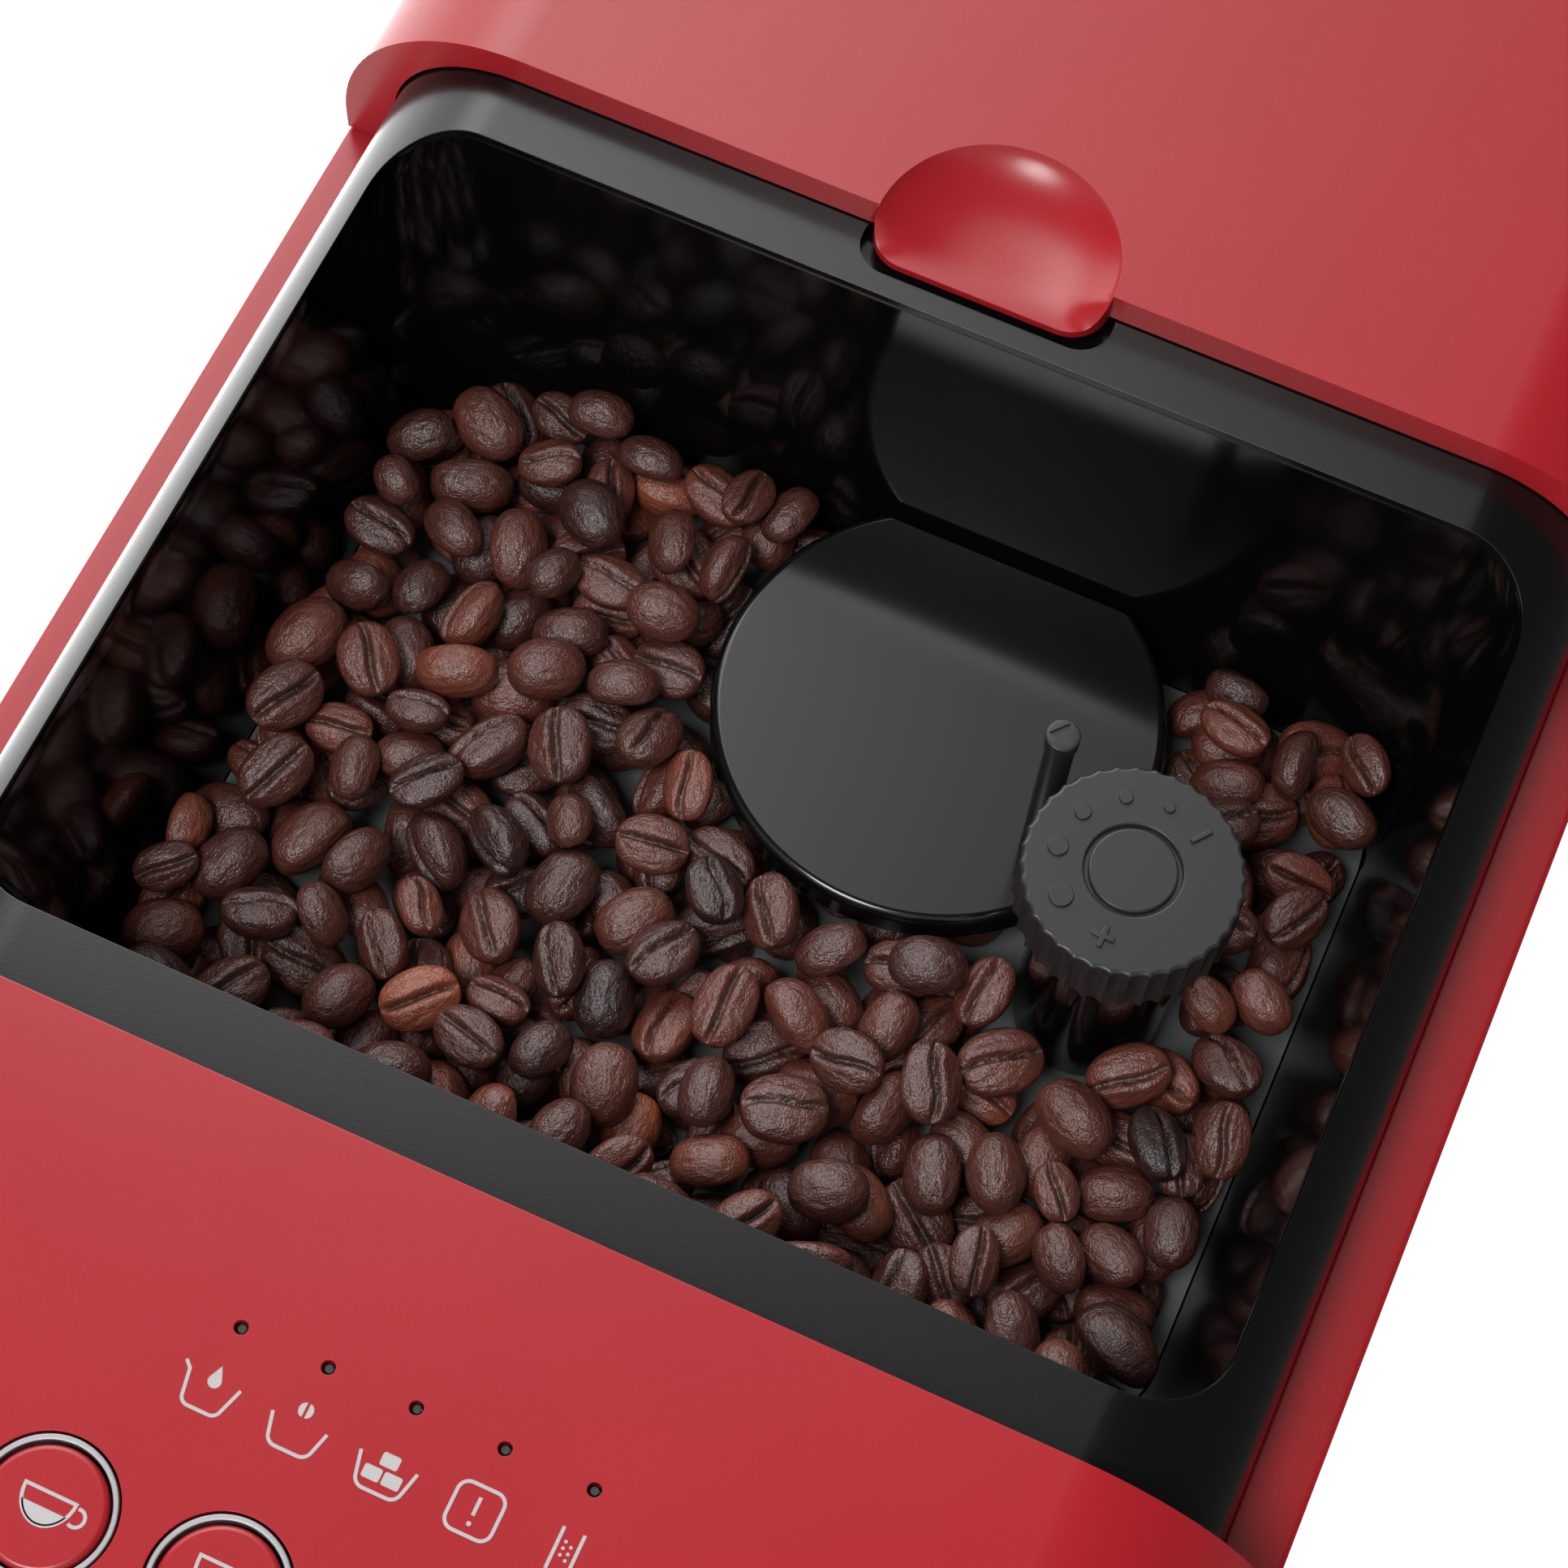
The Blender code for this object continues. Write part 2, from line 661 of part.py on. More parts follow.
def make_side(name, side):
    inner, outer = sorted((side * (HALF - PANEL_T), side * HALF))
    panel = outline_solid(name, side_outline(), "X", inner, outer, red())
    near, far = sorted((side * LEDGE_IN, side * (HALF - 0.001)))
    ledge = box(name + "_ledge", (near, SEAM_Y, LEDGE - LEDGE_T), (far, BACK, LEDGE), hidden=True)
    return join(panel, ledge)


def make_door(panel):
    """Service door in the right side, on an upright hinge pin at its rear edge."""
    hole = box("door_hole", (HALF - 0.01, DOOR_Y0 - DOOR_GAP, DOOR_Z0 - DOOR_GAP),
               (HALF + 0.01, DOOR_AXIS_Y + 2 * PIN_R, DOOR_Z1 + DOOR_GAP), hidden=True)
    cut(panel, hole)
    door = box("service_door", (HALF - PANEL_T, DOOR_Y0, DOOR_Z0), (HALF, DOOR_Y1 - GAP, DOOR_Z1),
               red(), round_edges=0.0003)
    grip = box("door_grip", (HALF - 0.0010, DOOR_Y0 + 0.004, DOOR_Z0 + 0.055),
               (HALF + 0.01, DOOR_Y0 + 0.010, DOOR_Z1 - 0.055), hidden=True)
    cut(door, grip)
    cylinder("door_hinge_pin", PIN_R, DOOR_Z0, DOOR_Z1, DOOR_AXIS_X, DOOR_AXIS_Y, steel(), sides=16)


def make_base():
    """Base plate on four rubber feet."""
    box("base_plate", (-INNER_HALF, FRONT + 0.001, BASE_LOW), (INNER_HALF, BACK - 0.001, BASE_TOP),
        black_satin())
    high = BASE_LOW - GAP
    foot = [(0.0, high), (0.0100, high), (0.0090, 0.0006), (0.0082, 0.0), (0.0, 0.0)]
    for side, label in ((-1, "left"), (1, "right")):
        for end, where in ((FRONT + FOOT_INSET, "front"), (BACK - FOOT_INSET, "rear")):
            turned(f"foot_{where}_{label}", foot, (side * FOOT_X, end, 0),
                   finish("rubber", BLACK, 0.8), 24)


def make_front():
    """Front of the head, its underside, the panel behind the niche and the wall before the tank."""
    box("front_fascia", (-INNER_HALF, FRONT, HEAD_LOW), (INNER_HALF, FRONT + PANEL_T, LEDGE - GAP),
        red(), round_edges=0.0006)
    box("head_underside", (-INNER_HALF, FRONT + PANEL_T + GAP, HEAD_LOW),
        (INNER_HALF, NICHE_Y, HEAD_LOW + PANEL_T), black_satin())
    panel = box("niche_panel", (-INNER_HALF, NICHE_Y + GAP, NICHE_LOW),
                (INNER_HALF, NICHE_Y + GAP + PANEL_T, NICHE_HIGH), black_gloss())
    slot = rounded_box_outline(SLOT_HALF, SLOT_LOW, SLOT_HIGH, 0.004, 4)
    cut(panel, outline_solid("spout_slot", slot, "Y", NICHE_Y - 0.01, NICHE_Y + 0.02, hidden=True))
    far = DECK_BACK - GAP
    box("back_panel", (-INNER_HALF, far - PANEL_T, BASE_TOP + GAP), (INNER_HALF, far, DECK_LOW - GAP),
        black_satin())


def make_spout():
    """Height-adjustable spout: a rounded housing with two nozzles, on a carriage behind the panel."""
    near, far = NICHE_Y - SPOUT_REACH, NICHE_Y - 0.0012
    outline = rounded([(-SPOUT_HALF, near, 0.014), (SPOUT_HALF, near, 0.014), (SPOUT_HALF, far, 0.003),
                       (-SPOUT_HALF, far, 0.003)], 5)
    housing = outline_solid("spout_housing", outline, "Z", SPOUT_LOW, SPOUT_HIGH, black_gloss())
    half = SLOT_HALF - 0.001
    carriage = box("carriage", (-half, NICHE_Y - 0.004, SPOUT_LOW + 0.012),
                   (half, NICHE_Y + 0.0085, SPOUT_HIGH - 0.012), hidden=True)
    join(housing, carriage)
    for side, label in ((-1, "left"), (1, "right")):
        nozzle = [(0.0042, 0.0), (0.0042, -0.004), (0.0034, -0.0115), (0.0022, -0.0115), (0.0022, 0.0),
                  (0.0042, 0.0)]
        turned(f"nozzle_{label}", nozzle, (side * NOZZLE_X, NICHE_Y - 0.044, SPOUT_LOW - GAP), steel(),
               24)
    cylinder("spout_rail", 0.0030, NICHE_LOW + 0.0015, SLOT_HIGH + 0.004, 0.0, RAIL_Y, steel(), sides=20)


def make_tray():
    """Drip tray with its slotted grate."""
    near, far = FRONT, NICHE_Y - 0.0005
    high = SILL - 0.006
    half = INNER_HALF - GAP
    tray = box("drip_tray", (-half, near, TRAY_LOW), (half, far, high), black_satin(),
               round_edges=0.0008)
    wall = 0.0027
    cut(tray, box("tray_hollow", (-half + wall, near + wall, TRAY_LOW + wall),
                  (half - wall, far - wall, high + 0.01), hidden=True))
    grate = box("drip_grate", (-half, near, high + GAP), (half, far, high + GAP + GRATE_T), steel())
    for i, x in enumerate(row(GRATE_SLOTS, GRATE_PITCH)):
        left, right = x - GRATE_SLOT_HALF, x + GRATE_SLOT_HALF
        outline = rounded([(left, near + 0.012, 0.002), (right, near + 0.012, 0.002),
                           (right, far - 0.022, 0.002), (left, far - 0.022, 0.002)], 3)
        slot = outline_solid(f"grate_slot_{i + 1}", outline, "Z", high - 0.01, high + 0.01, hidden=True)
        cut(grate, slot)
    float_y = far - FLOAT_BACK
    cut(grate, cylinder("float_hole", 0.0050, high - 0.01, high + 0.01, 0.0, float_y, hidden=True,
                        sides=24))
    make_float(high + GRATE_T, float_y)
    make_grounds()


def make_float(high, y):
    """Red float that rises through the grate when the tray is full."""
    low = TRAY_LOW + 0.0030
    stalk = [(0.0, high), (0.0036, high - 0.0002), (0.0042, high - 0.0008), (0.0042, low + 0.010),
             (0.0100, low + 0.009), (0.0100, low), (0.0, low)]
    turned("float_indicator", stalk, (0.0, y, 0), red(), 24)


def make_grounds():
    """Open box behind the tray that catches the spent coffee."""
    wall = 0.0022
    near = NICHE_Y + GAP
    grounds = box("grounds_container", (-GROUNDS_HALF, near, TRAY_LOW),
                  (GROUNDS_HALF, GROUNDS_BACK, GROUNDS_HIGH), black_satin())
    cut(grounds, box("grounds_hollow", (-GROUNDS_HALF + wall, near + wall, TRAY_LOW + wall),
                     (GROUNDS_HALF - wall, GROUNDS_BACK - wall, GROUNDS_HIGH + 0.01), hidden=True))


# ---------------------------------------------------------------- works inside
def make_grinder():
    """Burrs under the throat, their housing, the motor and the chute to the brew unit."""
    top = BURR_TOP
    upper = [(0.0230, top), (0.0230, top - 0.010), (0.0170, top - 0.010), (0.0110, top), (0.0230, top)]
    turned("upper_burr", upper, (GRIND_X, GRIND_Y, 0), steel(), 36)
    lower = [(0.0, top - 0.003), (0.0040, top - 0.003), (0.0105, top - 0.0115), (0.0220, top - 0.0130),
             (0.0220, top - 0.018), (0.0, top - 0.018)]
    turned("lower_burr", lower, (GRIND_X, GRIND_Y, 0), steel(), 36)
    bottom = top - SHELL_H
    inner = SHELL_R - SHELL_WALL
    shell = [(SHELL_R, top), (SHELL_R, bottom), (0.0, bottom), (0.0, bottom + 0.004),
             (inner, bottom + 0.004), (inner, top), (SHELL_R, top)]
    turned("grinder_housing", shell, (GRIND_X, GRIND_Y, 0), dark_grey(), 36)
    high = bottom - GAP
    low = high - MOTOR_H
    motor = [(0.0, high), (MOTOR_R - 0.0015, high), (MOTOR_R, high - 0.002), (MOTOR_R, low + 0.003),
             (MOTOR_R - 0.003, low), (0.0, low)]
    turned("grinder_motor", motor, (GRIND_X, GRIND_Y, 0), steel(), 36)
    out_y = GRIND_Y - SHELL_R - CHUTE_R - 0.0005
    bar("grind_chute", [(GRIND_X, out_y, top - 0.0200), (GRIND_X, out_y - 0.010, top - 0.0280),
                        (GRIND_X, out_y - 0.014, top - 0.0400)], CHUTE_R, dark_grey(), 2)


def make_works():
    """Brew unit, pump and thermoblock."""
    brew = box("brew_unit", (-0.038, NICHE_Y + 0.0165, 0.1300), (0.074, -0.0580, 0.2250), dark_grey(),
               round_edges=0.003)
    cut(brew, cylinder("brew_mouth", 0.0190, 0.2150, 0.2400, GRIND_X, -0.0830, hidden=True, sides=32))
    half = PUMP_LENGTH / 2
    neck_r = 0.0080
    profile = [(0.0, half), (neck_r, half), (neck_r, half * 0.76), (PUMP_R, half * 0.72),
               (PUMP_R, -half * 0.72), (neck_r, -half * 0.76), (neck_r, -half), (0.0, -half)]
    pump = turned("water_pump", profile, (0.045, 0.062, 0.046), steel(), 28)
    pump.rotation_euler = Euler((math.radians(90), 0, 0))
    block = box("thermoblock", (-0.080, 0.020, 0.120), (-0.032, 0.100, 0.180), steel(), round_edges=0.002)
    for i, z in enumerate((0.135, 0.150, 0.165)):
        cut(block, box(f"fin_gap_{i + 1}", (-0.09, 0.01, z), (-0.072, 0.11, z + 0.004), hidden=True))


# ---------------------------------------------------------------- tank and mains
def make_tank():
    """Lift-out tank with the spring valve in its floor."""
    high = LEDGE - GAP
    wall = 0.0025
    tank = box("water_tank", (-TANK_HALF, TANK_FRONT, TANK_LOW), (TANK_HALF, TANK_BACK, high),
               finish("smoked", (0.16, 0.17, 0.18), 0.1), round_edges=0.003)
    cut(tank, box("tank_hollow", (-TANK_HALF + wall, TANK_FRONT + wall, TANK_LOW + wall),
                  (TANK_HALF - wall, TANK_BACK - wall, high + 0.01), hidden=True))
    cut(tank, cylinder("valve_hole", 0.0060, TANK_LOW - 0.01, TANK_LOW + 0.01, 0.0, VALVE_Y, hidden=True,
                       sides=24))
    floor = TANK_LOW + wall
    stem = [(0.0, floor + 0.0085), (0.0090, floor + 0.0080), (0.0090, floor + 0.0011),
            (0.0050, floor + 0.0009), (0.0050, TANK_LOW - 0.0040), (0.0, TANK_LOW - 0.0040)]
    turned("tank_valve", stem, (0.0, VALVE_Y, 0), steel(), 24)


def tank_lid_body(name, inset, material=None, hidden=False):
    """The tank lid's outer form, or with an inset its inside: shoulders to the sides and the back."""
    low = LEDGE + GAP - inset
    near, far = BAY_Y + 0.0005, BACK - inset
    radius = SKIN_R - inset
    along = outline_solid(name, arch(HALF - inset, TOP - inset, radius, low, 11), "Y", near + inset, far,
                          material, hidden)
    side = rounded([(near - 0.01, low - 0.01, 0), (far, low - 0.01, 0), (far, TOP - inset, radius),
                    (near - 0.01, TOP - inset, 0)], 11)
    return common(along, outline_solid(name + "_side", side, "X", -0.1, 0.1, hidden=True))


def make_tank_lid():
    """Red lid on the tank, hollow underneath."""
    cut(tank_lid_body("tank_lid", 0.0, red()), tank_lid_body("tank_lid_hollow", COVER_WALL, hidden=True))


def make_rear_base():
    """Hollow block under the tank that holds its socket, the mains inlet and the power switch."""
    near, far = TANK_FRONT, BACK - 0.0012
    low, high = BASE_TOP + GAP, TANK_LOW - 0.0012
    wall = 0.003
    block = box("rear_base", (-INNER_HALF, near, low), (INNER_HALF, far, high), black_satin())
    cut(block, box("rear_hollow", (-INNER_HALF + wall, near + wall, low - 0.01),
                   (INNER_HALF - wall, far - wall, high - wall), hidden=True))
    cut(block, cylinder("socket_hole", 0.0080, high - 0.01, high + 0.01, 0.0, VALVE_Y, hidden=True,
                        sides=24))
    make_inlet(block, far)
    make_switch(block, far)


def inlet_box(name, grow, near, far, material=None, hidden=True):
    """A block round the inlet's middle, grown or shrunk by the same amount on every side."""
    half_w, half_h = INLET_HALF_W + grow, INLET_HALF_H + grow
    return box(name, (INLET_X - half_w, near, INLET_Z - half_h), (INLET_X + half_w, far, INLET_Z + half_h),
               material, hidden)


def make_inlet(block, far):
    """Three-pin mains inlet, open to the rear."""
    cut(block, inlet_box("inlet_hole", GAP, far - 0.01, far + 0.01))
    inlet = inlet_box("mains_inlet", 0.0, far - INLET_DEPTH, far + 0.0008, black_satin(), hidden=False)
    cut(inlet, inlet_box("inlet_mouth", -0.002, far - INLET_DEPTH + 0.005, far + 0.01))
    for i, (x, z) in enumerate(((-0.007, -0.001), (0.0, 0.003), (0.007, -0.001))):
        join(inlet, box(f"inlet_pin_{i + 1}", (INLET_X + x - 0.001, far - 0.019, INLET_Z + z - 0.002),
                        (INLET_X + x + 0.001, far - 0.004, INLET_Z + z + 0.002), hidden=True))


def make_switch(block, far):
    """Rocker switch, origin on its pivot."""
    half_w, half_h = SWITCH_HALF_W, SWITCH_HALF_H
    cut(block, box("switch_hole", (SWITCH_X - half_w - 2 * GAP, far - 0.01, INLET_Z - half_h - 0.0008),
                   (SWITCH_X + half_w + 2 * GAP, far + 0.01, INLET_Z + half_h + 0.0008), hidden=True))
    face = [(0.0006, half_h), (-0.0045, half_h - 0.0002), (-0.0075, 0.0), (-0.0045, -half_h + 0.0002),
            (0.0006, -half_h), (-0.0010, 0.0)]
    rocker = outline_solid("power_switch", face, "X", -half_w, half_w, black_satin())
    rocker.location = (SWITCH_X, far - 0.0004, INLET_Z)


# ---------------------------------------------------------------- build
def build():
    make_deck()
    make_hopper()
    make_beans()
    make_grinder_cover()
    make_knob()
    make_knob_stand()
    make_lid()
    make_cover()
    make_buttons()
    make_side("left_side_panel", -1)
    make_door(make_side("right_side_panel", 1))
    make_base()
    make_front()
    make_spout()
    make_tray()
    make_grinder()
    make_works()
    make_tank()
    make_tank_lid()
    make_rear_base()


build()
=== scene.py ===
# %% [markdown]
# # A slim bean-to-cup coffee machine, seen from above with its bean lid drawn back
#
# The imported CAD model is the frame: it says where every piece is and how it moves.  This file
# gives that frame its looks.  Most of what the eye meets here is moulded plastic and roasted
# coffee, so the lesson is mainly about three things: rounded edges that catch light, plastics
# that differ only in their gloss, and a heap of beans that really lie on one another.

import json
import math
import random

import bmesh
import bpy
import numpy as np
from mathutils import Euler, Matrix, Vector


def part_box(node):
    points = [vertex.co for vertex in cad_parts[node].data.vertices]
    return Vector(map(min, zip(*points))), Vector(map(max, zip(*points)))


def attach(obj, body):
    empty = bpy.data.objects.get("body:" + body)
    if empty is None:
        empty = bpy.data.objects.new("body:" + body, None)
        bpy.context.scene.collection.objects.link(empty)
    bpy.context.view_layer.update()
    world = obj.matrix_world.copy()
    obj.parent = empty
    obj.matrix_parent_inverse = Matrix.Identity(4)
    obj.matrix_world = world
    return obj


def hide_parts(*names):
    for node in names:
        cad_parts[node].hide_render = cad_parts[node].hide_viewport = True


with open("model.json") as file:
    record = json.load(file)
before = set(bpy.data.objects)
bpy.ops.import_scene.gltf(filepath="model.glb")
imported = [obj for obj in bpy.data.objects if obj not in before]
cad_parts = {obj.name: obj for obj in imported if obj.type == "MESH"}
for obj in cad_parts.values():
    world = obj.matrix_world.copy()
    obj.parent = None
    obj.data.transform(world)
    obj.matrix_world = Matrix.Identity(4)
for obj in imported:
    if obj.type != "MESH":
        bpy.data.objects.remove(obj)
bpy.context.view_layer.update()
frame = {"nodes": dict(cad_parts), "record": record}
bodies = frame["record"]["behaviour"]["bodies"]
body_of = {node: body for body, nodes in bodies.items() for node in nodes}
mm = 0.001

# %% [markdown]
# ## The camera
#
# The machine is looked at from above and a little to its front right, close enough that the
# hopper fills the picture.  A longish lens keeps the sides of the casing nearly parallel.

# %% Camera
camera = bpy.data.cameras.new("camera")
camera.lens = 75.99
camera.sensor_width = 36.0
camera.clip_start = 0.01
eye = bpy.data.objects.new("camera", camera)
eye.location = (55.5 * mm, -203.5 * mm, 676.5 * mm)
eye.rotation_euler = Euler([math.radians(turn) for turn in (23.859, -2.069, 24.116)])
bpy.context.scene.collection.objects.link(eye)
bpy.context.scene.camera = eye
print("camera", round(camera.lens), "mm at", [round(v, 3) for v in eye.location])

# %% [markdown]
# ## Writing shaders as expressions
#
# A material is a small program drawn as nodes, and so is the sky of a world.  It reads better
# as arithmetic, so a *Wire* wraps one socket and adds a Math node for each operator.  *Nodes*
# is one node tree, and its one method makes any other node: the type, then its settings, then
# what goes into it.  A *Paint* is the node tree of one material.

# %% Wire, Nodes and Paint
class Wire:
    """One output socket, with the arithmetic that the finishes use."""

    def __init__(self, nodes, socket):
        self.nodes = nodes
        self.socket = socket

    def math(self, operation, first, second):
        return self.nodes.node("Math", {"operation": operation}, {0: first, 1: second})

    def __add__(self, other):
        return self.math("ADD", self, other)

    def __radd__(self, other):
        return self.math("ADD", other, self)

    def __sub__(self, other):
        return self.math("SUBTRACT", self, other)

    def __rsub__(self, other):
        return self.math("SUBTRACT", other, self)

    def __mul__(self, other):
        return self.math("MULTIPLY", self, other)

    def __rmul__(self, other):
        return self.math("MULTIPLY", other, self)


class Nodes:
    """One node tree, which makes nodes and plugs values or wires into them."""

    def __init__(self, tree):
        self.tree = tree

    def node(self, kind, settings=None, sockets=None, out=0):
        made = self.tree.nodes.new("ShaderNode" + kind)
        for name, value in (settings or {}).items():
            if name == "stops":
                self.set_stops(made.color_ramp, value)
            else:
                setattr(made, name, value)
        for name, value in (sockets or {}).items():
            self.plug(made.inputs[name], value)
        return Wire(self, made.outputs[out])

    def set_stops(self, ramp, stops):
        while len(ramp.elements) < len(stops):
            ramp.elements.new(1.0)
        for element, (place, colour) in zip(ramp.elements, stops):
            element.position = place
            element.color = (*colour, 1.0)

    def plug(self, socket, value):
        if isinstance(value, Wire):
            self.tree.links.new(value.socket, socket)
        elif isinstance(value, tuple) and len(value) == 3 and socket.type == "RGBA":
            socket.default_value = (*value, 1.0)
        else:
            socket.default_value = value

    def band(self, value, start, end, height=1.0, low=0.0, shape="SMOOTHSTEP"):
        """Goes from low to height while the value goes from start to end."""
        return self.node("MapRange", {"interpolation_type": shape}, {
            "Value": value, "From Min": start, "From Max": end, "To Min": low, "To Max": height})


class Paint(Nodes):
    """One material on a Principled shader, for one finish in the record."""

    def __init__(self, name, slot, **fixed):
        self.slot = slot
        self.material = bpy.data.materials.new(name)
        self.material.use_nodes = True
        super().__init__(self.material.node_tree)
        self.shader = self.tree.nodes["Principled BSDF"]
        self.feed(**fixed)

    def feed(self, **sockets):
        """Values or wires for the Principled shader, named as its sockets with _ for a space."""
        for name, value in sockets.items():
            self.plug(self.shader.inputs[name.replace("_", " ")], value)

    def place(self):
        """Where the surface is, in metres, the same for every piece."""
        return self.node("TexCoord", out="Object")

    def noise(self, size, detail=2.0, at=None):
        """Cloudy variation whose lumps are about size metres across, from 0 to 1."""
        return self.node("TexNoise", {}, {"Vector": at or self.place(), "Scale": 1.0 / size,
                                          "Detail": detail})

    def blend(self, factor, first, second):
        """A colour between two, by a factor."""
        return self.node("Mix", {"data_type": "RGBA"}, {0: factor, 6: first, 7: second}, out=2)

    def bump(self, height, depth, strength=1.0):
        """A surface normal from a height that runs over depth metres."""
        return self.node("Bump", {}, {"Height": height, "Distance": depth, "Strength": strength})


print("shader helpers ready")

# %% [markdown]
# ## The light
#
# A product like this is lit by one very large soft window, here behind it on the left.  Flat
# plastic mirrors a different part of that window at every spot, and that is what draws the
# grey gradients on the black surround.  A world whose brightness depends on direction makes
# such a window without noise: a soft lower edge towards the viewer, brighter and brighter to
# the left, and dark on the right, so that the right-hand shoulders stay black.  A smaller
# softbox and a faint glow near the viewer fill the hopper and light the beans.  The viewer's own
# rays see a plain pale wall instead of the dark studio.

# %% Light
scene = bpy.context.scene
scene.view_settings.view_transform = "Standard"
world = bpy.data.worlds.new("studio")
scene.world = world
world.use_nodes = True
sky = Nodes(world.node_tree)
direction = sky.node("TexCoord", out="Generated")
sideways = sky.node("SeparateXYZ", {}, {0: direction}, out="X")
away = sky.node("SeparateXYZ", {}, {0: direction}, out="Y")
upwards = sky.node("SeparateXYZ", {}, {0: direction}, out="Z")
overhead = sky.band(sideways, 0.12, -0.02, 0.95)
leftwards = sky.band(sideways, -0.06, -0.62, 5.7, shape="LINEAR")
past_the_window = sky.band(sideways, -0.42, -0.70, 0.32, 1.0)
lower_edge = sky.band(away, 0.205, 0.295)
window = (overhead + leftwards) * past_the_window * lower_edge
horizon = sky.band(upwards, 0.22, 0.08, 0.45) * sky.band(sideways, 0.3, -0.1)
front_glow = sky.band(away, -0.15, -0.6, 0.6)
DIM_ROOM = 0.06
dark_studio = sky.tree.nodes["Background"]
sky.plug(dark_studio.inputs["Color"], (1.0, 1.0, 1.0))
sky.plug(dark_studio.inputs["Strength"], window + horizon + front_glow + DIM_ROOM)
pale_wall = sky.node("Background", {}, {"Color": (0.93, 0.93, 0.93)})
seen = sky.node("LightPath", out="Is Camera Ray")
studio = sky.node("MixShader", {}, {0: seen, 1: Wire(sky, dark_studio.outputs[0]), 2: pale_wall})
sky.plug(sky.tree.nodes["World Output"].inputs["Surface"], studio)
print("one window, a horizon and a front glow in the sky")

# %% Softbox
softbox = bpy.data.lights.new("softbox", "AREA")
softbox.shape = "DISK"
softbox.size = 0.36
softbox.energy = 5.8
lamp = bpy.data.objects.new("softbox", softbox)
lamp.location = (-0.14, -0.52, 1.25)
towards_hopper = Vector((0.0, -0.05, 0.3)) - lamp.location
lamp.rotation_euler = towards_hopper.to_track_quat("-Z", "Y").to_euler()
scene.collection.objects.link(lamp)
print("a softbox at", [round(v, 2) for v in lamp.location])

# %% [markdown]
# ## The table
#
# A plain white sweep.  It glows a little, as an overexposed studio table does, so that it
# stays white without a hard shadow round the machine.  Gloss does not mirror it, so beside
# the machine the plastic mirrors the dark studio and stays dark there.

# %% Table
bpy.ops.mesh.primitive_plane_add(size=8.0, location=(0.0, 0.0, -0.2 * mm))
table = bpy.context.object
table.name = "table"
table_white = Paint("table_white", None, Base_Color=(0.85, 0.85, 0.85), Roughness=0.9,
                    Emission_Color=(1.0, 1.0, 1.0), Emission_Strength=1.0)
table.data.materials.append(table_white.material)
table.visible_glossy = False
print("table", [round(v, 1) for v in table.dimensions])

# %% [markdown]
# ## Moulded plastics
#
# Satin plastic is a smooth surface with a very fine etched grain.  The grain is too small to
# see, but it spreads the reflection and sparkles at the edge of a highlight.  Every plastic
# here is the same recipe: a colour that drifts slightly, a roughness that drifts slightly,
# and a grain bump.  Only the numbers differ between the red skin and the black surround.

# %% Plastic recipe
def moulded(name, slot, colour, rough, grain=0.22 * mm, relief=0.004 * mm, drift=0.06, **fixed):
    paint = Paint(name, slot, **fixed)
    cloud = paint.noise(28 * mm, 3.0)
    fine = paint.noise(grain, 1.0)
    darker = tuple(channel * (1.0 - drift) for channel in colour)
    lighter = tuple(channel * (1.0 + drift) for channel in colour)
    paint.feed(
        Base_Color=paint.blend(cloud * 0.8 + fine * 0.2, darker, lighter),
        Roughness=cloud * 0.05 + fine * 0.05 + (rough - 0.05),
        Normal=paint.bump(fine, relief),
    )
    return paint


red_skin = moulded("red_skin", "red_satin", (0.385, 0.0130, 0.0195), 0.27)
red_cap = moulded("red_cap", "button_red", (0.385, 0.0130, 0.0195), 0.27)
deck_black = moulded("deck_black", "black_satin", (0.0038, 0.0038, 0.0040), 0.22)
casing_black = moulded("casing_black", "black_satin", (0.017, 0.017, 0.0175), 0.38)
gloss_black = moulded("gloss_black", "black_gloss", (0.0030, 0.0030, 0.0032), 0.085,
                      grain=3 * mm, relief=0.006 * mm)
charcoal = moulded("charcoal", "dark_grey", (0.0045, 0.0045, 0.0047), 0.16,
                   grain=0.5 * mm, relief=0.001 * mm)
knob_grey = moulded("knob_grey", "dark_grey", (0.027, 0.027, 0.028), 0.34,
                    grain=0.30 * mm, relief=0.008 * mm)
works_grey = moulded("works_grey", "dark_grey", (0.060, 0.060, 0.062), 0.48)
pale_plate = moulded("pale_plate", "pale_floor", (0.12, 0.13, 0.128), 0.42)
foot_rubber = moulded("foot_rubber", "rubber", (0.020, 0.020, 0.020), 0.75, grain=0.4 * mm)
board_green = moulded("board_green", "board", (0.015, 0.10, 0.045), 0.45, grain=1.5 * mm)
lens_smoke = moulded("lens_smoke", "lens", (0.070, 0.078, 0.078), 0.16, grain=0.6 * mm)
ink_grey = moulded("ink_grey", "red_satin", (0.48, 0.46, 0.46), 0.42, drift=0.03)
print("plastics:", len(bpy.data.materials))

# %% [markdown]
# ## Metal
#
# Brushed steel is scratched along one direction.  Noise that is stretched along that
# direction, by squeezing the coordinates across it, drives the roughness and a faint bump.

# %% Metal recipe
def brushed(name, slot, colour, rough, stretch):
    paint = Paint(name, slot, Metallic=1.0)
    squeezed = paint.node("Mapping", {}, {"Vector": paint.place(), "Scale": stretch})
    scratches = paint.noise(0.5 * mm, 2.0, squeezed)
    duller = tuple(channel * 0.82 for channel in colour)
    paint.feed(
        Base_Color=paint.blend(scratches, duller, colour),
        Roughness=scratches * 0.18 + (rough - 0.09),
        Normal=paint.bump(scratches, 0.004 * mm),
    )
    return paint


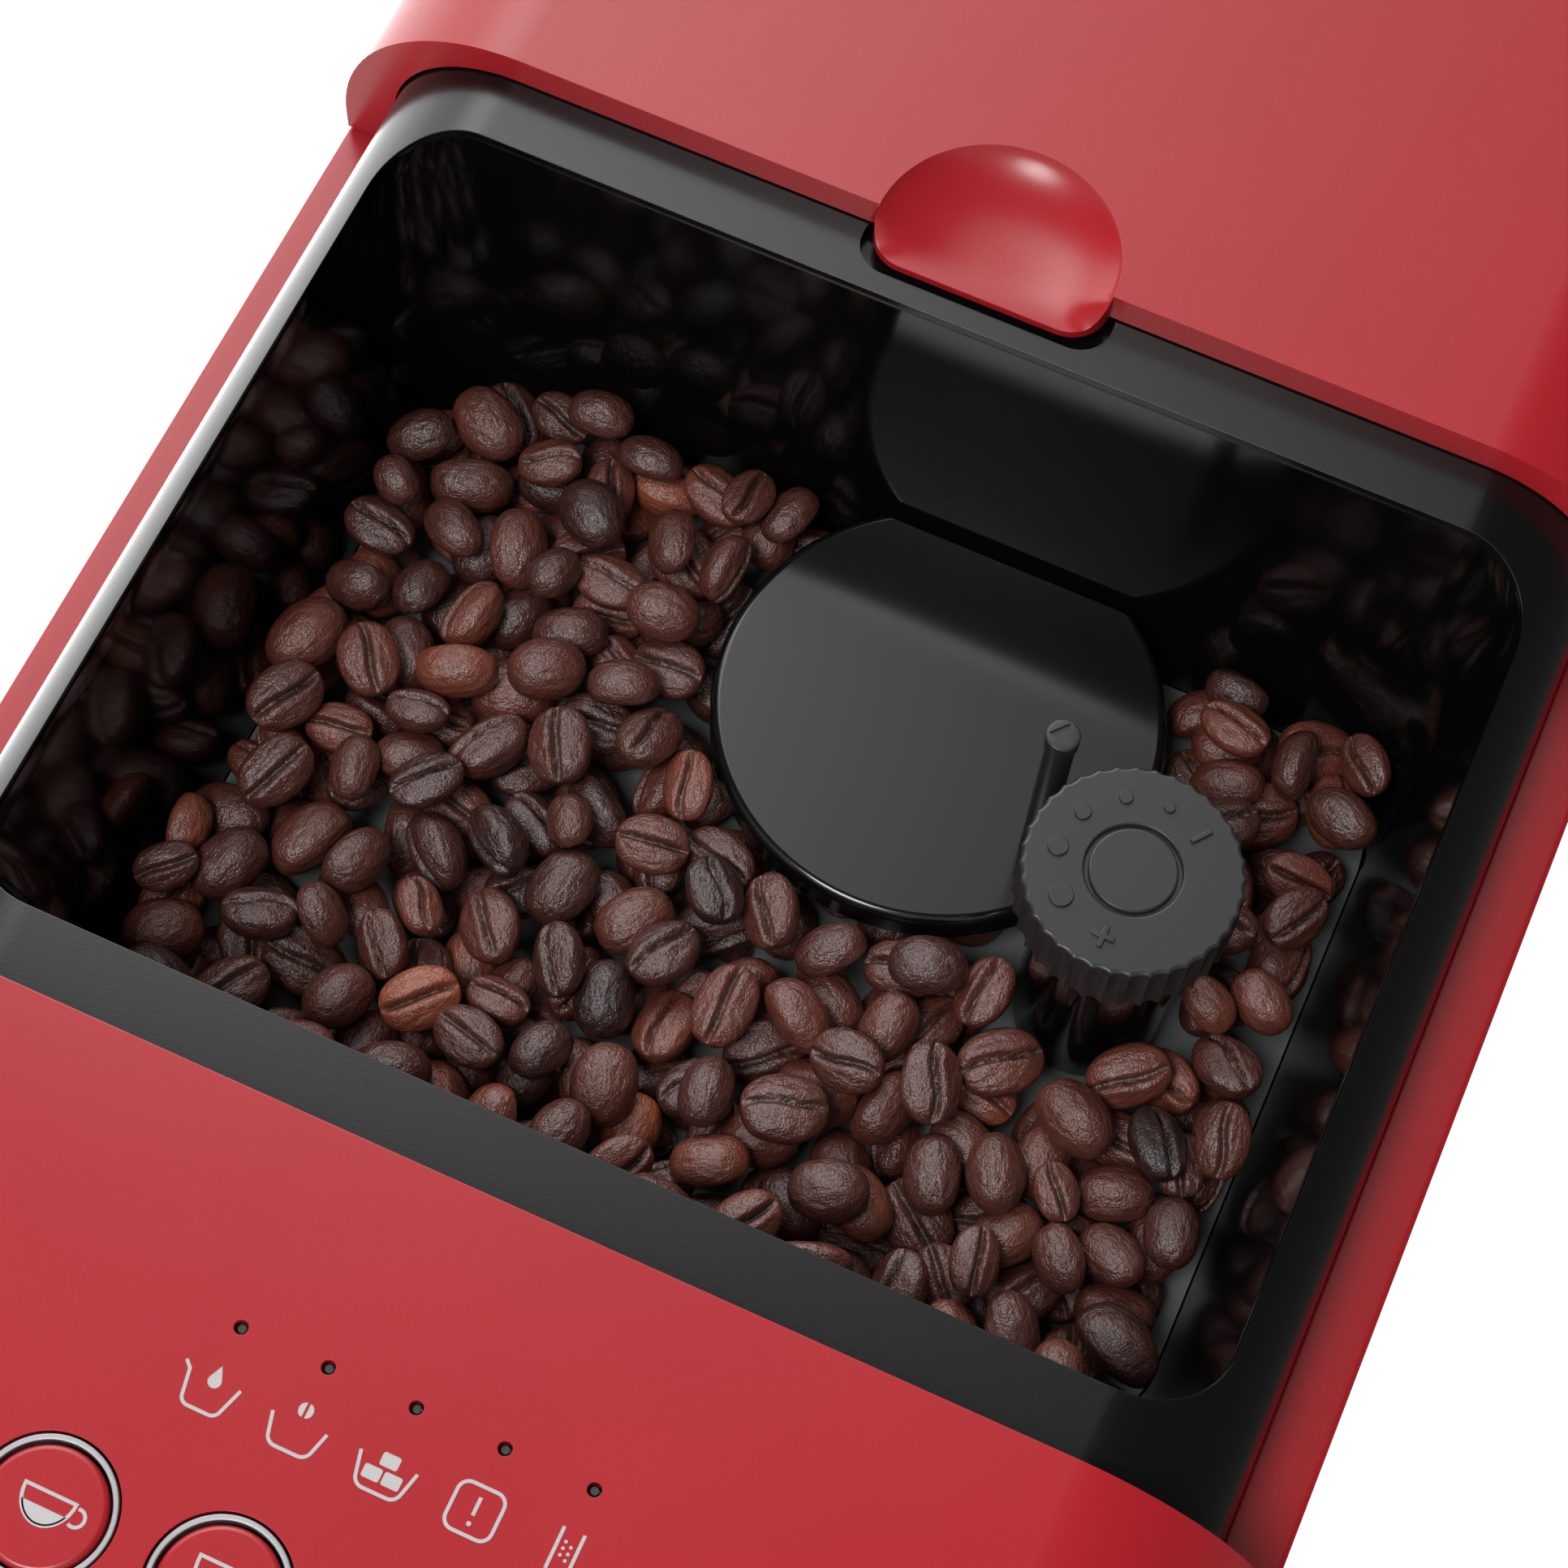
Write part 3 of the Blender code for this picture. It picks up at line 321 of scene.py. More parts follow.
steel = brushed("steel", "steel", (0.56, 0.56, 0.57), 0.30, (1.0, 0.04, 1.0))
ring_metal = brushed("ring_metal", "ring_metal", (0.40, 0.40, 0.41), 0.50, (1.0, 1.0, 0.2))
print("metals: steel and ring_metal")

# %% [markdown]
# ## Smoked tank plastic
#
# The water tank is clear plastic with a grey tint.  Transmission lets light through, and a
# low roughness with a slow drift keeps it from looking like a perfect window.

# %% Tank plastic
tank_smoke = Paint("tank_smoke", "tank_clear", Transmission_Weight=0.85, IOR=1.49)
tank_cloud = tank_smoke.noise(20 * mm, 3.0)
tank_smoke.feed(
    Base_Color=tank_smoke.blend(tank_cloud, (0.30, 0.32, 0.34), (0.40, 0.42, 0.44)),
    Roughness=tank_cloud * 0.08 + 0.06,
)
print("tank plastic ready")

# %% [markdown]
# ## Roasted coffee
#
# A roasted bean is a wrinkled brown skin with a slight oily gloss.  Each bean carries two
# numbers on its mesh: its *roast*, from reddish to nearly black, and a *crease* value that is
# 1 along the seam, where painted shade darkens the skin, with thin pale traces of the inner husk. Wrinkles
# come from noise that is stretched along the bean, so the noise reads the bean's own
# coordinates, which are stored on the mesh as well.

# %% Bean paint
bean_skin = Paint("bean_skin", "beans", Specular_IOR_Level=1.0)
roast = bean_skin.node("Attribute", {"attribute_name": "roast"}, out="Fac")
crease = bean_skin.node("Attribute", {"attribute_name": "crease"}, out="Fac")
own_place = bean_skin.node("Attribute", {"attribute_name": "own_place"}, out="Vector")
stretched = bean_skin.node("Mapping", {}, {"Vector": own_place, "Scale": (0.55, 1.0, 1.0)})
wrinkles = bean_skin.noise(1.1 * mm, 4.0, stretched)
pores = bean_skin.noise(0.28 * mm, 2.0, own_place)
patches = bean_skin.noise(4.0 * mm, 2.0, own_place)
roasts = bean_skin.node("ValToRGB", {"stops": [
    (0.0, (0.026, 0.0100, 0.0085)), (0.30, (0.070, 0.0200, 0.0140)), (0.60, (0.130, 0.0340, 0.0220)),
    (0.85, (0.210, 0.0530, 0.0300)), (1.0, (0.340, 0.0850, 0.0380))]},
    {"Fac": roast + patches * 0.30 + wrinkles * 0.22 - 0.26})
husk = bean_skin.noise(0.9 * mm, 3.0, own_place)
husk_line = bean_skin.node("MapRange", {}, {"Value": husk, "From Min": 0.56, "From Max": 0.66})
# Painted shade: along the seam the roast colour is blended towards near-black, as shade in the slit.
seam_shaded = bean_skin.blend(crease * 0.80, roasts, (0.012, 0.006, 0.005))
bean_skin.feed(
    Base_Color=bean_skin.blend(crease * husk_line * 0.75, seam_shaded, (0.32, 0.15, 0.07)),
    Roughness=wrinkles * 0.30 + pores * 0.15 + 0.13,
    Normal=bean_skin.bump(wrinkles * 0.75 + pores * 0.25, 0.62 * mm, 1.0),
)
print("bean skin ready")

# %% [markdown]
# ## Shapes to build with
#
# Four small helpers make nearly every hard piece: an outline whose corners are true arcs, a
# prism that pushes an outline along an axis, a boolean that is applied at once, and a rounding
# of sharp edges.  Real mouldings have no knife edges, and the thin bright line that a rounded
# edge catches is most of what makes a plastic shell look real.

# %% Outlines and prisms
def rounded(corners, steps=10):
    """An outline from (u, v, radius) corners, with an arc at each corner."""
    outline = []
    for i, (u, v, radius) in enumerate(corners):
        here = Vector((u, v))
        if radius <= 0.0:
            outline.append((u, v))
            continue
        before = (Vector(corners[i - 1][:2]) - here).normalized()
        after = (Vector(corners[(i + 1) % len(corners)][:2]) - here).normalized()
        half_angle = before.angle(after) / 2
        centre = here + (before + after).normalized() * (radius / math.sin(half_angle))
        start = here + before * (radius / math.tan(half_angle)) - centre
        sweep = start.angle_signed(here + after * (radius / math.tan(half_angle)) - centre)
        for k in range(steps + 1):
            turn = Matrix.Rotation(-sweep * k / steps, 2)
            outline.append(tuple(centre + turn @ start))
    return outline


def arch(half, top, radius, bottom, steps=24):
    """Cross-section with a flat top, round shoulders and upright sides, as (x, z)."""
    return rounded([(-half, bottom, 0), (half, bottom, 0), (half, top, radius),
                    (-half, top, radius)], steps)


def window_outline(half, near, far, radius, steps=14):
    return rounded([(-half, near, radius), (half, near, radius), (half, far, radius),
                    (-half, far, radius)], steps)


AXES = {"X": (1, 2, 0), "Y": (0, 2, 1), "Z": (0, 1, 2)}


def prism(name, outline, axis, low, high):
    """An outline pushed along an axis.  Along X it is (y, z), along Y (x, z), along Z (x, y)."""
    first, second, third = AXES[axis]
    shape = bmesh.new()
    verts = []
    for u, v in outline:
        place = [0.0, 0.0, 0.0]
        place[first], place[second], place[third] = u, v, low
        verts.append(shape.verts.new(place))
    face = shape.faces.new(verts)
    pushed = bmesh.ops.extrude_face_region(shape, geom=[face])["geom"]
    step = [0.0, 0.0, 0.0]
    step[third] = high - low
    bmesh.ops.translate(shape, vec=step, verts=[v for v in pushed if isinstance(v, bmesh.types.BMVert)])
    return blank(name, shape)


def blank(name, shape):
    """A bmesh turned into an object with its faces pointing outwards."""
    bmesh.ops.recalc_face_normals(shape, faces=shape.faces)
    mesh = bpy.data.meshes.new(name)
    shape.to_mesh(mesh)
    shape.free()
    made = bpy.data.objects.new(name, mesh)
    scene.collection.objects.link(made)
    return made


def freeze(piece):
    """Apply a piece's modifiers to its mesh."""
    bpy.context.view_layer.update()
    graph = bpy.context.evaluated_depsgraph_get()
    mesh = bpy.data.meshes.new_from_object(piece.evaluated_get(graph))
    piece.modifiers.clear()
    piece.data = mesh
    return piece


def carve(piece, operation, *others):
    """Cut, join or intersect with other pieces, which are used up."""
    for other in others:
        step = piece.modifiers.new("carve", "BOOLEAN")
        step.operation = operation
        step.solver = "EXACT"
        step.object = other
    freeze(piece)
    for other in others:
        bpy.data.objects.remove(other)
    return piece


print("outline helpers ready")

# %% Rounded edges and finished pieces
def round_edges(piece, width, segments=3, share=None, sharp=38.0):
    """Round the edges that turn by more than sharp degrees.

    share(middle) may give each edge its part of the width, from its middle point."""
    shape = bmesh.new()
    shape.from_mesh(piece.data)
    bmesh.ops.remove_doubles(shape, verts=shape.verts, dist=0.002 * mm)
    weight = shape.edges.layers.float.new("bevel_weight_edge")
    for edge in shape.edges:
        if edge.is_manifold and edge.calc_face_angle() > math.radians(sharp):
            middle = (edge.verts[0].co + edge.verts[1].co) / 2
            edge[weight] = share(middle) if share else 1.0
    shape.to_mesh(piece.data)
    shape.free()
    bevel = piece.modifiers.new("edges", "BEVEL")
    bevel.limit_method = "WEIGHT"
    bevel.width = width
    bevel.segments = segments
    return smooth(freeze(piece))


def smooth(piece, sharp=44.0):
    """Smooth shading that keeps flat faces flat."""
    piece.data.shade_smooth()
    piece.data.set_sharp_from_angle(angle=math.radians(sharp))
    weighted = piece.modifiers.new("flat_faces", "WEIGHTED_NORMAL")
    weighted.keep_sharp = True
    return piece


def finish_piece(piece, paint, node, *more_nodes):
    """Paint a piece, let it ride on its node's body, and let it stand for its CAD node."""
    piece.data.materials.clear()
    piece.data.materials.append(paint.material)
    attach(piece, body_of[node])
    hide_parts(node, *more_nodes)
    return piece


def add_detail(piece, paint, body):
    """Paint a small extra piece that stands on a CAD body without replacing a node."""
    piece.data.materials.clear()
    piece.data.materials.append(paint.material)
    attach(piece, body)
    return piece


print("finishing helpers ready")

# %% [markdown]
# ## Turned pieces
#
# Knobs, rings, caps and stems are turned: a profile of radius and height, spun about an
# upright axis.  The spin here may also change the radius with the angle, which is how the
# knob gets its flutes without any boolean.

# %% Spin
def spin(name, profile, centre, steps=96, reach=None):
    """Turn a closed or axis-to-axis profile; reach(row, angle) may give the radius instead."""
    shape = bmesh.new()
    rows = []
    for row, (radius, height) in enumerate(profile):
        if radius <= 0.0:
            rows.append([shape.verts.new((centre[0], centre[1], height))])
            continue
        ring = []
        for k in range(steps):
            angle = 2 * math.pi * k / steps
            spoke = reach(row, angle) if reach else radius
            ring.append(shape.verts.new((centre[0] + spoke * math.cos(angle),
                                         centre[1] + spoke * math.sin(angle), height)))
        rows.append(ring)
    for upper, lower in zip(rows, rows[1:]):
        for k in range(steps):
            nxt = (k + 1) % steps
            around = [upper[k % len(upper)], upper[nxt % len(upper)], lower[nxt % len(lower)],
                      lower[k % len(lower)]]
            corners = list(dict.fromkeys(around))
            if len(corners) > 2:
                shape.faces.new(corners)
    bmesh.ops.remove_doubles(shape, verts=shape.verts, dist=0.001 * mm)
    return blank(name, shape)


def fillet(radius_from, height_from, radius_to, height_to, outward=True, steps=5):
    """Quarter-round profile points between two ends; outward rounds an outer edge."""
    points = []
    for k in range(steps + 1):
        turn = math.pi / 2 * k / steps
        across, down = math.sin(turn), 1 - math.cos(turn)
        if not outward:
            across, down = 1 - math.cos(turn), math.sin(turn)
        points.append((radius_from + (radius_to - radius_from) * across,
                       height_from + (height_to - height_from) * down))
    return points


print("turning helpers ready")

# %% [markdown]
# ## The sliding lid
#
# A red arched shell, drawn back over the rear of the machine.  Its front edge has a small
# radius that catches the light in one long line.  In the middle a finger scoop dips below the
# top and reaches forwards as a lip.  The scoop is a height given by a formula: a bowl with steep
# walls behind the lid's edge, which runs out flat towards the lip.  A cutter is made of all that
# lies above that height.  Behind its front rim, which follows the black surround closely, the
# lid is a thin shell.

# %% Lid sizes from the frame
lid_low, lid_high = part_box("sliding_lid")
half_width = lid_high.x
top = lid_high.z
lip_front = lid_low.y
LIP_REACH = 5.1 * mm
lid_front = lip_front + LIP_REACH
SHOULDER = 26.5 * mm
LID_WALL = 3.8 * mm
SCOOP_R = 15.4 * mm
SCOOP_DEPTH = 4.05 * mm
LIP_THICK = 1.1 * mm
LIP_GAP = 0.3 * mm
deck_low, deck_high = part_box("hopper_bezel")
deck_top = deck_high.z
DECK_R = 18.3 * mm
DECK_GAP = 0.35 * mm
LID_RIM = 3.0 * mm
print("lid front edge at y =", round(lid_front / mm, 1), "mm, deck top at z =", round(deck_top / mm, 1))

# %% Scoop bowl
def scoop_height(u, v):
    """How high the scoop's surface is, for u across and v behind the lid's front edge."""
    rise = 0.25 * mm
    reach = min(1.0, math.hypot(u, max(v, 0.0)) / SCOOP_R)
    bowl = (SCOOP_DEPTH + rise) * (1.0 - reach ** 2.6) ** 0.75 - rise
    ahead = min(1.0, max(0.0, -v / (lid_front - lip_front)))
    ahead = ahead * ahead * (3.0 - 2.0 * ahead)
    drop = top - deck_top - LIP_GAP - LIP_THICK
    return top - bowl - (drop - bowl) * ahead


def scoop_bowl():
    """A cutter of everything above the scoop's surface, as columns from left to right."""
    shape = bmesh.new()
    across, behind, before = 110, 30, 16
    length = lid_front - lip_front
    roof = top + 6 * mm
    floor_points, roof_points = [], []
    for k in range(across):
        u = -SCOOP_R * math.cos(math.pi * (k + 0.5) / across)
        back = math.sqrt(SCOOP_R ** 2 - u ** 2)
        places = [-length - 5 * mm] + [-length * (1 - n / before) for n in range(before)]
        places += [back * n / behind for n in range(behind + 1)]
        floor_points.append([shape.verts.new((u, lid_front + v, scoop_height(u, v))) for v in places])
        roof_points.append([shape.verts.new((u, lid_front + v, roof)) for v in places])
    strips = [pair for layer in (floor_points, roof_points) for pair in zip(layer, layer[1:])]
    for end in (0, -1):
        strips.append(([column[end] for column in floor_points], [column[end] for column in roof_points]))
        strips.append((floor_points[end], roof_points[end]))
    for first, second in strips:
        for n in range(len(first) - 1):
            shape.faces.new((first[n], first[n + 1], second[n + 1], second[n]))
    return blank("scoop_bowl", shape)


def lip_blank():
    """The lip's plan, as thick as the deck allows; the bowl then shapes its upper side."""
    half = SCOOP_R - 0.05 * mm
    far = lid_front + SCOOP_R + 0.8 * mm
    plan = rounded([(-half, lip_front, 5.0 * mm), (half, lip_front, 5.0 * mm), (half, far, 12 * mm),
                    (-half, far, 12 * mm)], 14)
    return prism("lip", plan, "Z", deck_top + LIP_GAP, top - 0.05 * mm)


# %% Lid
below = lid_low.z - 10 * mm
past_back = lid_high.y + 10 * mm
inner_arch = arch(half_width - LID_WALL, top - LID_WALL, SHOULDER - LID_WALL, below)
deck_arch = arch(deck_high.x + DECK_GAP, deck_top + DECK_GAP, DECK_R + DECK_GAP, below)
lid = prism("lid_shell", arch(half_width, top, SHOULDER, lid_low.z), "Y", lid_front, lid_high.y)
inside = prism("lid_inside", inner_arch, "Y", lid_front + LID_RIM, past_back)
over_deck = prism("over_deck", deck_arch, "Y", lid_front - 10 * mm, past_back)
carve(lid, "DIFFERENCE", inside, over_deck)
carve(lid, "UNION", lip_blank())
carve(lid, "DIFFERENCE", scoop_bowl())


def lid_edge_share(middle):
    """The lid's outer edges get the full radius, the scoop's rim and the inner edges a fifth."""
    near_scoop = abs(middle.x) < SCOOP_R + 1.5 * mm and middle.y < lid_front + SCOOP_R + 2 * mm
    if near_scoop:
        return 0.22 if middle.z > top - 3.3 * mm else 0.12
    over_surround = abs(middle.x) < deck_high.x + mm and middle.z < deck_top + mm
    return 0.2 if over_surround else 1.0


round_edges(lid, 1.1 * mm, 4, lid_edge_share)
finish_piece(lid, red_skin, "sliding_lid")
print("lid:", len(lid.data.polygons), "faces")

# %% [markdown]
# ## The control cover
#
# The red cover in front of the hopper is domed to both sides and to the front.  Two prisms,
# one along the machine and one across it, meet in that form.  The holes for the buttons and
# the five indicator lights are cut through, and each hole's edge is broken slightly.

# %% Control cover
cover_low, cover_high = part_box("control_cover")
seam = cover_high.y
front = cover_low.y
COVER_WALL = 2.5 * mm


def domed(name, inset, rear, low):
    """Cover form: shoulders to both sides and to the front, all inset by the same amount."""
    radius = SHOULDER - inset
    along = prism(name, arch(half_width - inset, top - inset, radius, low), "Y", front + inset, rear)
    side = rounded([(front + inset, low - mm, 0), (rear + 10 * mm, low - mm, 0),
                    (rear + 10 * mm, top - inset, 0), (front + inset, top - inset, radius)], 24)
    return carve(along, "INTERSECT", prism(name + "_side", side, "X", -0.1, 0.1))


def round_cutter(radius, x, y, depth=10 * mm, steps=72):
    profile = [(0.0, top + depth), (radius, top + depth), (radius, top - depth), (0.0, top - depth)]
    return spin("round_cutter", profile, (x, y), steps)


def middles(names):
    """The middle of each named node."""
    return [sum(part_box(name), Vector()) / 2 for name in names]


button_names = [f"coffee_button_{i}" for i in (1, 2, 3, 4)]
ring_names = [f"button_ring_{i}" for i in (1, 2, 3, 4)]
lens_names = [f"status_lens_{i}" for i in (1, 2, 3, 4, 5)]
button_places = middles(button_names)
lens_places = middles(lens_names)
ring_outer = (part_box("button_ring_1")[1].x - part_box("button_ring_1")[0].x) / 2
cover = domed("cover_shell", 0.0, seam, cover_low.z)
carve(cover, "DIFFERENCE", domed("cover_inside", COVER_WALL, seam - COVER_WALL, cover_low.z - 10 * mm))
holes = [round_cutter(ring_outer + 0.25 * mm, p.x, p.y) for p in button_places]
holes += [round_cutter(0.78 * mm, p.x, p.y, steps=32) for p in lens_places]
carve(cover, "DIFFERENCE", *holes)


def cover_edge_share(middle):
    """Hole edges are only just broken; the seam and the lower edge are softer."""
    over_holes = middle.y < seam - 15 * mm and abs(middle.x) < 45 * mm and middle.z > top - 5 * mm
    return 0.3 if over_holes else 1.0


round_edges(cover, 0.45 * mm, 3, cover_edge_share)
finish_piece(cover, red_skin, "control_cover")
print("cover:", len(cover.data.polygons), "faces, with", len(holes), "holes")

# %% [markdown]
# ## The black surround
#
# The deck that carries the hopper is an arched black moulding, lower than the red skin on
# both sides of it.  The hopper's mouth breaks through its shoulders left and right, and a
# rolled edge runs all round it.  Two shallow pockets take the lid's lip: one under the scoop
# where the lid now stands, one at the seam where it ends when the lid is closed.

# %% Surround
DECK_WALL = 2.2 * mm
OPEN_HALF = 75.5 * mm
OPEN_R = 10.5 * mm
open_front = seam + 9.7 * mm
open_back = seam + 122.4 * mm
collar_low = top - 14 * mm
deck_half = deck_high.x
deck = prism("deck_shell", arch(deck_half, deck_top, DECK_R, deck_low.z), "Y", deck_low.y, deck_high.y)
hollow = prism("deck_inside", arch(deck_half - DECK_WALL, deck_top - DECK_WALL, DECK_R - DECK_WALL,
                                   deck_low.z - 10 * mm),
               "Y", deck_low.y + DECK_WALL, deck_high.y - DECK_WALL)
collar = window_outline(OPEN_HALF + 2 * mm, open_front - 2 * mm, open_back + 2 * mm, OPEN_R + 2 * mm)
carve(hollow, "DIFFERENCE", prism("collar", collar, "Z", collar_low, top + 10 * mm))
mouth = window_outline(OPEN_HALF, open_front, open_back, OPEN_R)
rear_pocket = window_outline(16.4 * mm, lip_front - 0.9 * mm, lid_front + 3 * mm, 4.2 * mm)
front_pocket = window_outline(7.7 * mm, seam - 3 * mm, seam + 0.9 * mm, 0.5 * mm, 3)
pockets = [prism("pocket", outline, "Z", deck_top - 2 * mm, top) for outline in (rear_pocket, front_pocket)]
carve(deck, "DIFFERENCE", hollow, prism("mouth", mouth, "Z", deck_low.z - 20 * mm, top + 20 * mm), *pockets)


def deck_edge_share(middle):
    """The mouth's upper edge gets the full roll; pockets and hidden edges much less."""
    near = 0.1 * mm
    across = abs(middle.x) < OPEN_HALF + near
    along = open_front - near < middle.y < open_back + near
    return 1.0 if across and along and middle.z > collar_low + mm else 0.3


round_edges(deck, 0.9 * mm, 4, deck_edge_share)
finish_piece(deck, deck_black, "hopper_bezel")
print("surround:", len(deck.data.polygons), "faces")

# %% [markdown]
# ## The hopper bucket
#
# The bucket under the mouth is polished inside, so the walls mirror the beans and the grinder
# cover.  It is a loft through rounded sections that shrink and grow rounder towards the floor.
# A thin upright lip carries the polish up inside the surround's mouth, to just under its roll.

# %% Bucket
hopper_low, hopper_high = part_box("bean_hopper")
plate_low, plate_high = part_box("hopper_floor")
TAPER = 5.5 * mm
WALL = 1.5 * mm
LINER_GAP = 0.02 * mm
LINER_IN = 0.15 * mm
BELOW_ROLL = 1.3 * mm
floor_level = plate_low.z - 0.3 * mm


def bucket_ring(shape, height, grow):
    """One rounded section; grow is how far it stands outside the inner wall."""
    drop = max(0.0, (hopper_high.z - height) / (hopper_high.z - floor_level))
    inset = TAPER * drop - grow
    outline = window_outline(OPEN_HALF - inset, open_front + inset, open_back - inset,
                             OPEN_R + 4 * mm * drop, 14)
    return [shape.verts.new((x, y, min(height, below_roll(x)))) for x, y in outline]


def below_roll(x):
    """The height just below the roll of the mouth, which bends down with the shoulders."""
    beyond = max(0.0, abs(x) - (deck_half - DECK_R))
    return deck_top - BELOW_ROLL - (DECK_R - math.sqrt(DECK_R ** 2 - beyond ** 2))


def bucket_shape():
    """Outer wall from the lip down, floor, then the inner wall up again to the lip."""
    shape = bmesh.new()
    lip = deck_top - BELOW_ROLL
    outer = [(lip, -LINER_GAP), (hopper_high.z, -LINER_GAP), (hopper_high.z - 0.3 * mm, WALL),
             (hopper_low.z, WALL)]
    inner = [(floor_level, -LINER_IN), (hopper_high.z, -LINER_IN), (lip, -LINER_IN)]
    rings = [bucket_ring(shape, height, grow) for height, grow in outer + inner]
    underside, floor = rings[len(outer) - 1], rings[len(outer)]
    for ring, following in zip(rings, rings[1:] + rings[:1]):
        if ring is underside:
            continue
        for i in range(len(ring)):
            j = (i + 1) % len(ring)
            shape.faces.new((ring[i], ring[j], following[j], following[i]))
    shape.faces.new(underside)
    shape.faces.new(floor)
    return blank("hopper_bucket", shape)


throat_x, throat_y = sum(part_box("lower_burr"), Vector()).xy / 2
bucket = bucket_shape()
throat = spin("throat", [(0.0, top), (13.5 * mm, top), (13.5 * mm, 0.2), (0.0, 0.2)], (throat_x, throat_y))
carve(bucket, "DIFFERENCE", throat)
finish_piece(smooth(bucket, 30.0), gloss_black, "bean_hopper")
print("bucket:", len(bucket.data.polygons), "faces")

# %% [markdown]
# ## The grinder cover, the knob and its post
#
# A flat disc hides the burrs and is cut straight where it meets the rear wall.  Beside it
# stands the knob that sets the grind: a fluted cap on a polished stem, with raised marks from
# fine to coarse and a sunk ring in the middle.  A thin post with a small arrow points at the
# mark that is set.

# %% Grinder cover
cap_low, cap_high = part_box("grinder_cover")
CAP_R = 29.5 * mm
CAP_T = 5 * mm
CAP_EDGE = 1.3 * mm
NECK_R = 16.5 * mm
NECK_WALL = 2.5 * mm
disc_under = cap_high.z - CAP_T
cap_profile = [(0.0, cap_high.z), (CAP_R * 0.6, cap_high.z)]
cap_profile += fillet(CAP_R - CAP_EDGE, cap_high.z, CAP_R, cap_high.z - CAP_EDGE, steps=8)
cap_profile += [(CAP_R, disc_under + 0.4 * mm), (CAP_R - 0.4 * mm, disc_under), (NECK_R, disc_under)]
cap_profile += [(NECK_R, cap_low.z), (NECK_R - NECK_WALL, cap_low.z)]
cap_profile += [(NECK_R - NECK_WALL, disc_under + mm), (0.0, disc_under + mm)]
grinder_cap = spin("grinder_cap", cap_profile, (throat_x, throat_y), 160)
behind = window_outline(60 * mm, cap_high.y, cap_high.y + 40 * mm, 0.0)
carve(grinder_cap, "DIFFERENCE", prism("behind", behind, "Z", cap_low.z - 10 * mm, top))
round_edges(grinder_cap, 0.25 * mm, 2, sharp=60.0)
finish_piece(grinder_cap, charcoal, "grinder_cover")
print("grinder cap:", len(grinder_cap.data.polygons), "faces")

# %% Knob body
knob_low, knob_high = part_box("grind_knob")
knob_x, knob_y = sum(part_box("knob_pedestal"), Vector()).xy / 2
KNOB_R = 13.3 * mm
KNOB_H = 10 * mm
FLUTES = 36
FLUTE_DEPTH = 0.62 * mm
RIM_DEPTH = 0.30 * mm
knob_top = knob_high.z
skirt = knob_top - KNOB_H
GROOVE = knob_top - 0.75 * mm
face = [(0.0, knob_top), (4.95 * mm, knob_top)]
face += fillet(5.05 * mm, knob_top, 5.25 * mm, knob_top - 0.25 * mm, steps=3)
face += [(5.28 * mm, GROOVE), (5.72 * mm, GROOVE)]
face += fillet(5.76 * mm, knob_top - 0.32 * mm, 6.02 * mm, knob_top, outward=False, steps=3)
plain_rows = len(face)
face += fillet(KNOB_R - 0.55 * mm, knob_top, KNOB_R, knob_top - 0.5 * mm, steps=5)
face += [(KNOB_R, knob_top - drop) for drop in (1.0 * mm, 2 * mm)]
face += [(KNOB_R, skirt + 0.3 * mm), (KNOB_R - 0.3 * mm, skirt)]
fluted_rows = len(face)
face += [(KNOB_R - 2 * mm, skirt), (3 * mm, skirt), (3 * mm, knob_low.z), (0.0, knob_low.z)]


def knob_reach(row, angle):
    """Scallops in the rim, deeper ones in the skirt; the top and the shaft stay round."""
    radius = face[row][0]
    if not plain_rows <= row < fluted_rows:
        return radius
    depth = RIM_DEPTH if face[row][1] > knob_top - 1.2 * mm else FLUTE_DEPTH
    return radius - depth * abs(math.sin(FLUTES * angle / 2)) ** 0.9


knob = spin("knob_cap", face, (knob_x, knob_y), FLUTES * 12, knob_reach)
print("knob:", len(knob.data.polygons), "faces,", FLUTES, "flutes")

# %% Marks on the knob
MARK_RISE = 0.36 * mm


def pad(outline):
    """A thin raised mark with a small rounded edge, standing on the knob's face."""
    mark = prism("mark", outline, "Z", knob_top - 0.1 * mm, knob_top + MARK_RISE)
    return round_edges(mark, 0.10 * mm, 2)


def turned_outline(points, angle, radius):
    """Points given along and across a spoke, put on the knob at that angle."""
    spoke = Vector((math.cos(angle), math.sin(angle)))
    side = Vector((-spoke.y, spoke.x))
    centre = Vector((knob_x, knob_y)) + spoke * radius
    return [tuple(centre + spoke * u + side * v) for u, v in points]


def disc_points(radius, steps=28):
    return [(radius * math.cos(2 * math.pi * k / steps), radius * math.sin(2 * math.pi * k / steps))
            for k in range(steps)]


def bar_points(half_long, half_wide):
    return rounded([(-half_long, -half_wide, 0.1 * mm), (half_long, -half_wide, 0.1 * mm),
                    (half_long, half_wide, 0.1 * mm), (-half_long, half_wide, 0.1 * mm)], 3)


def plus_points(arm, half):
    """A cross with equal arms."""
    quarter = [(arm, -half), (arm, half), (half, half)]
    points = []
    for k in range(4):
        turn = Matrix.Rotation(math.pi / 2 * k, 2)
        points += [tuple(turn @ Vector(point)) for point in quarter]
    return points


marks = []
MARK_AT = 9.15 * mm
dots = ((0.70, 84), (0.85, 117), (1.02, 152), (1.24, 186), (1.48, 225))
for size, degrees in dots:
    marks.append(pad(turned_outline(disc_points(size * mm), math.radians(degrees), MARK_AT)))
marks.append(pad(turned_outline(bar_points(1.40 * mm, 0.32 * mm), math.radians(52), MARK_AT)))
marks.append(pad(turned_outline(plus_points(1.42 * mm, 0.33 * mm), math.radians(269), MARK_AT)))


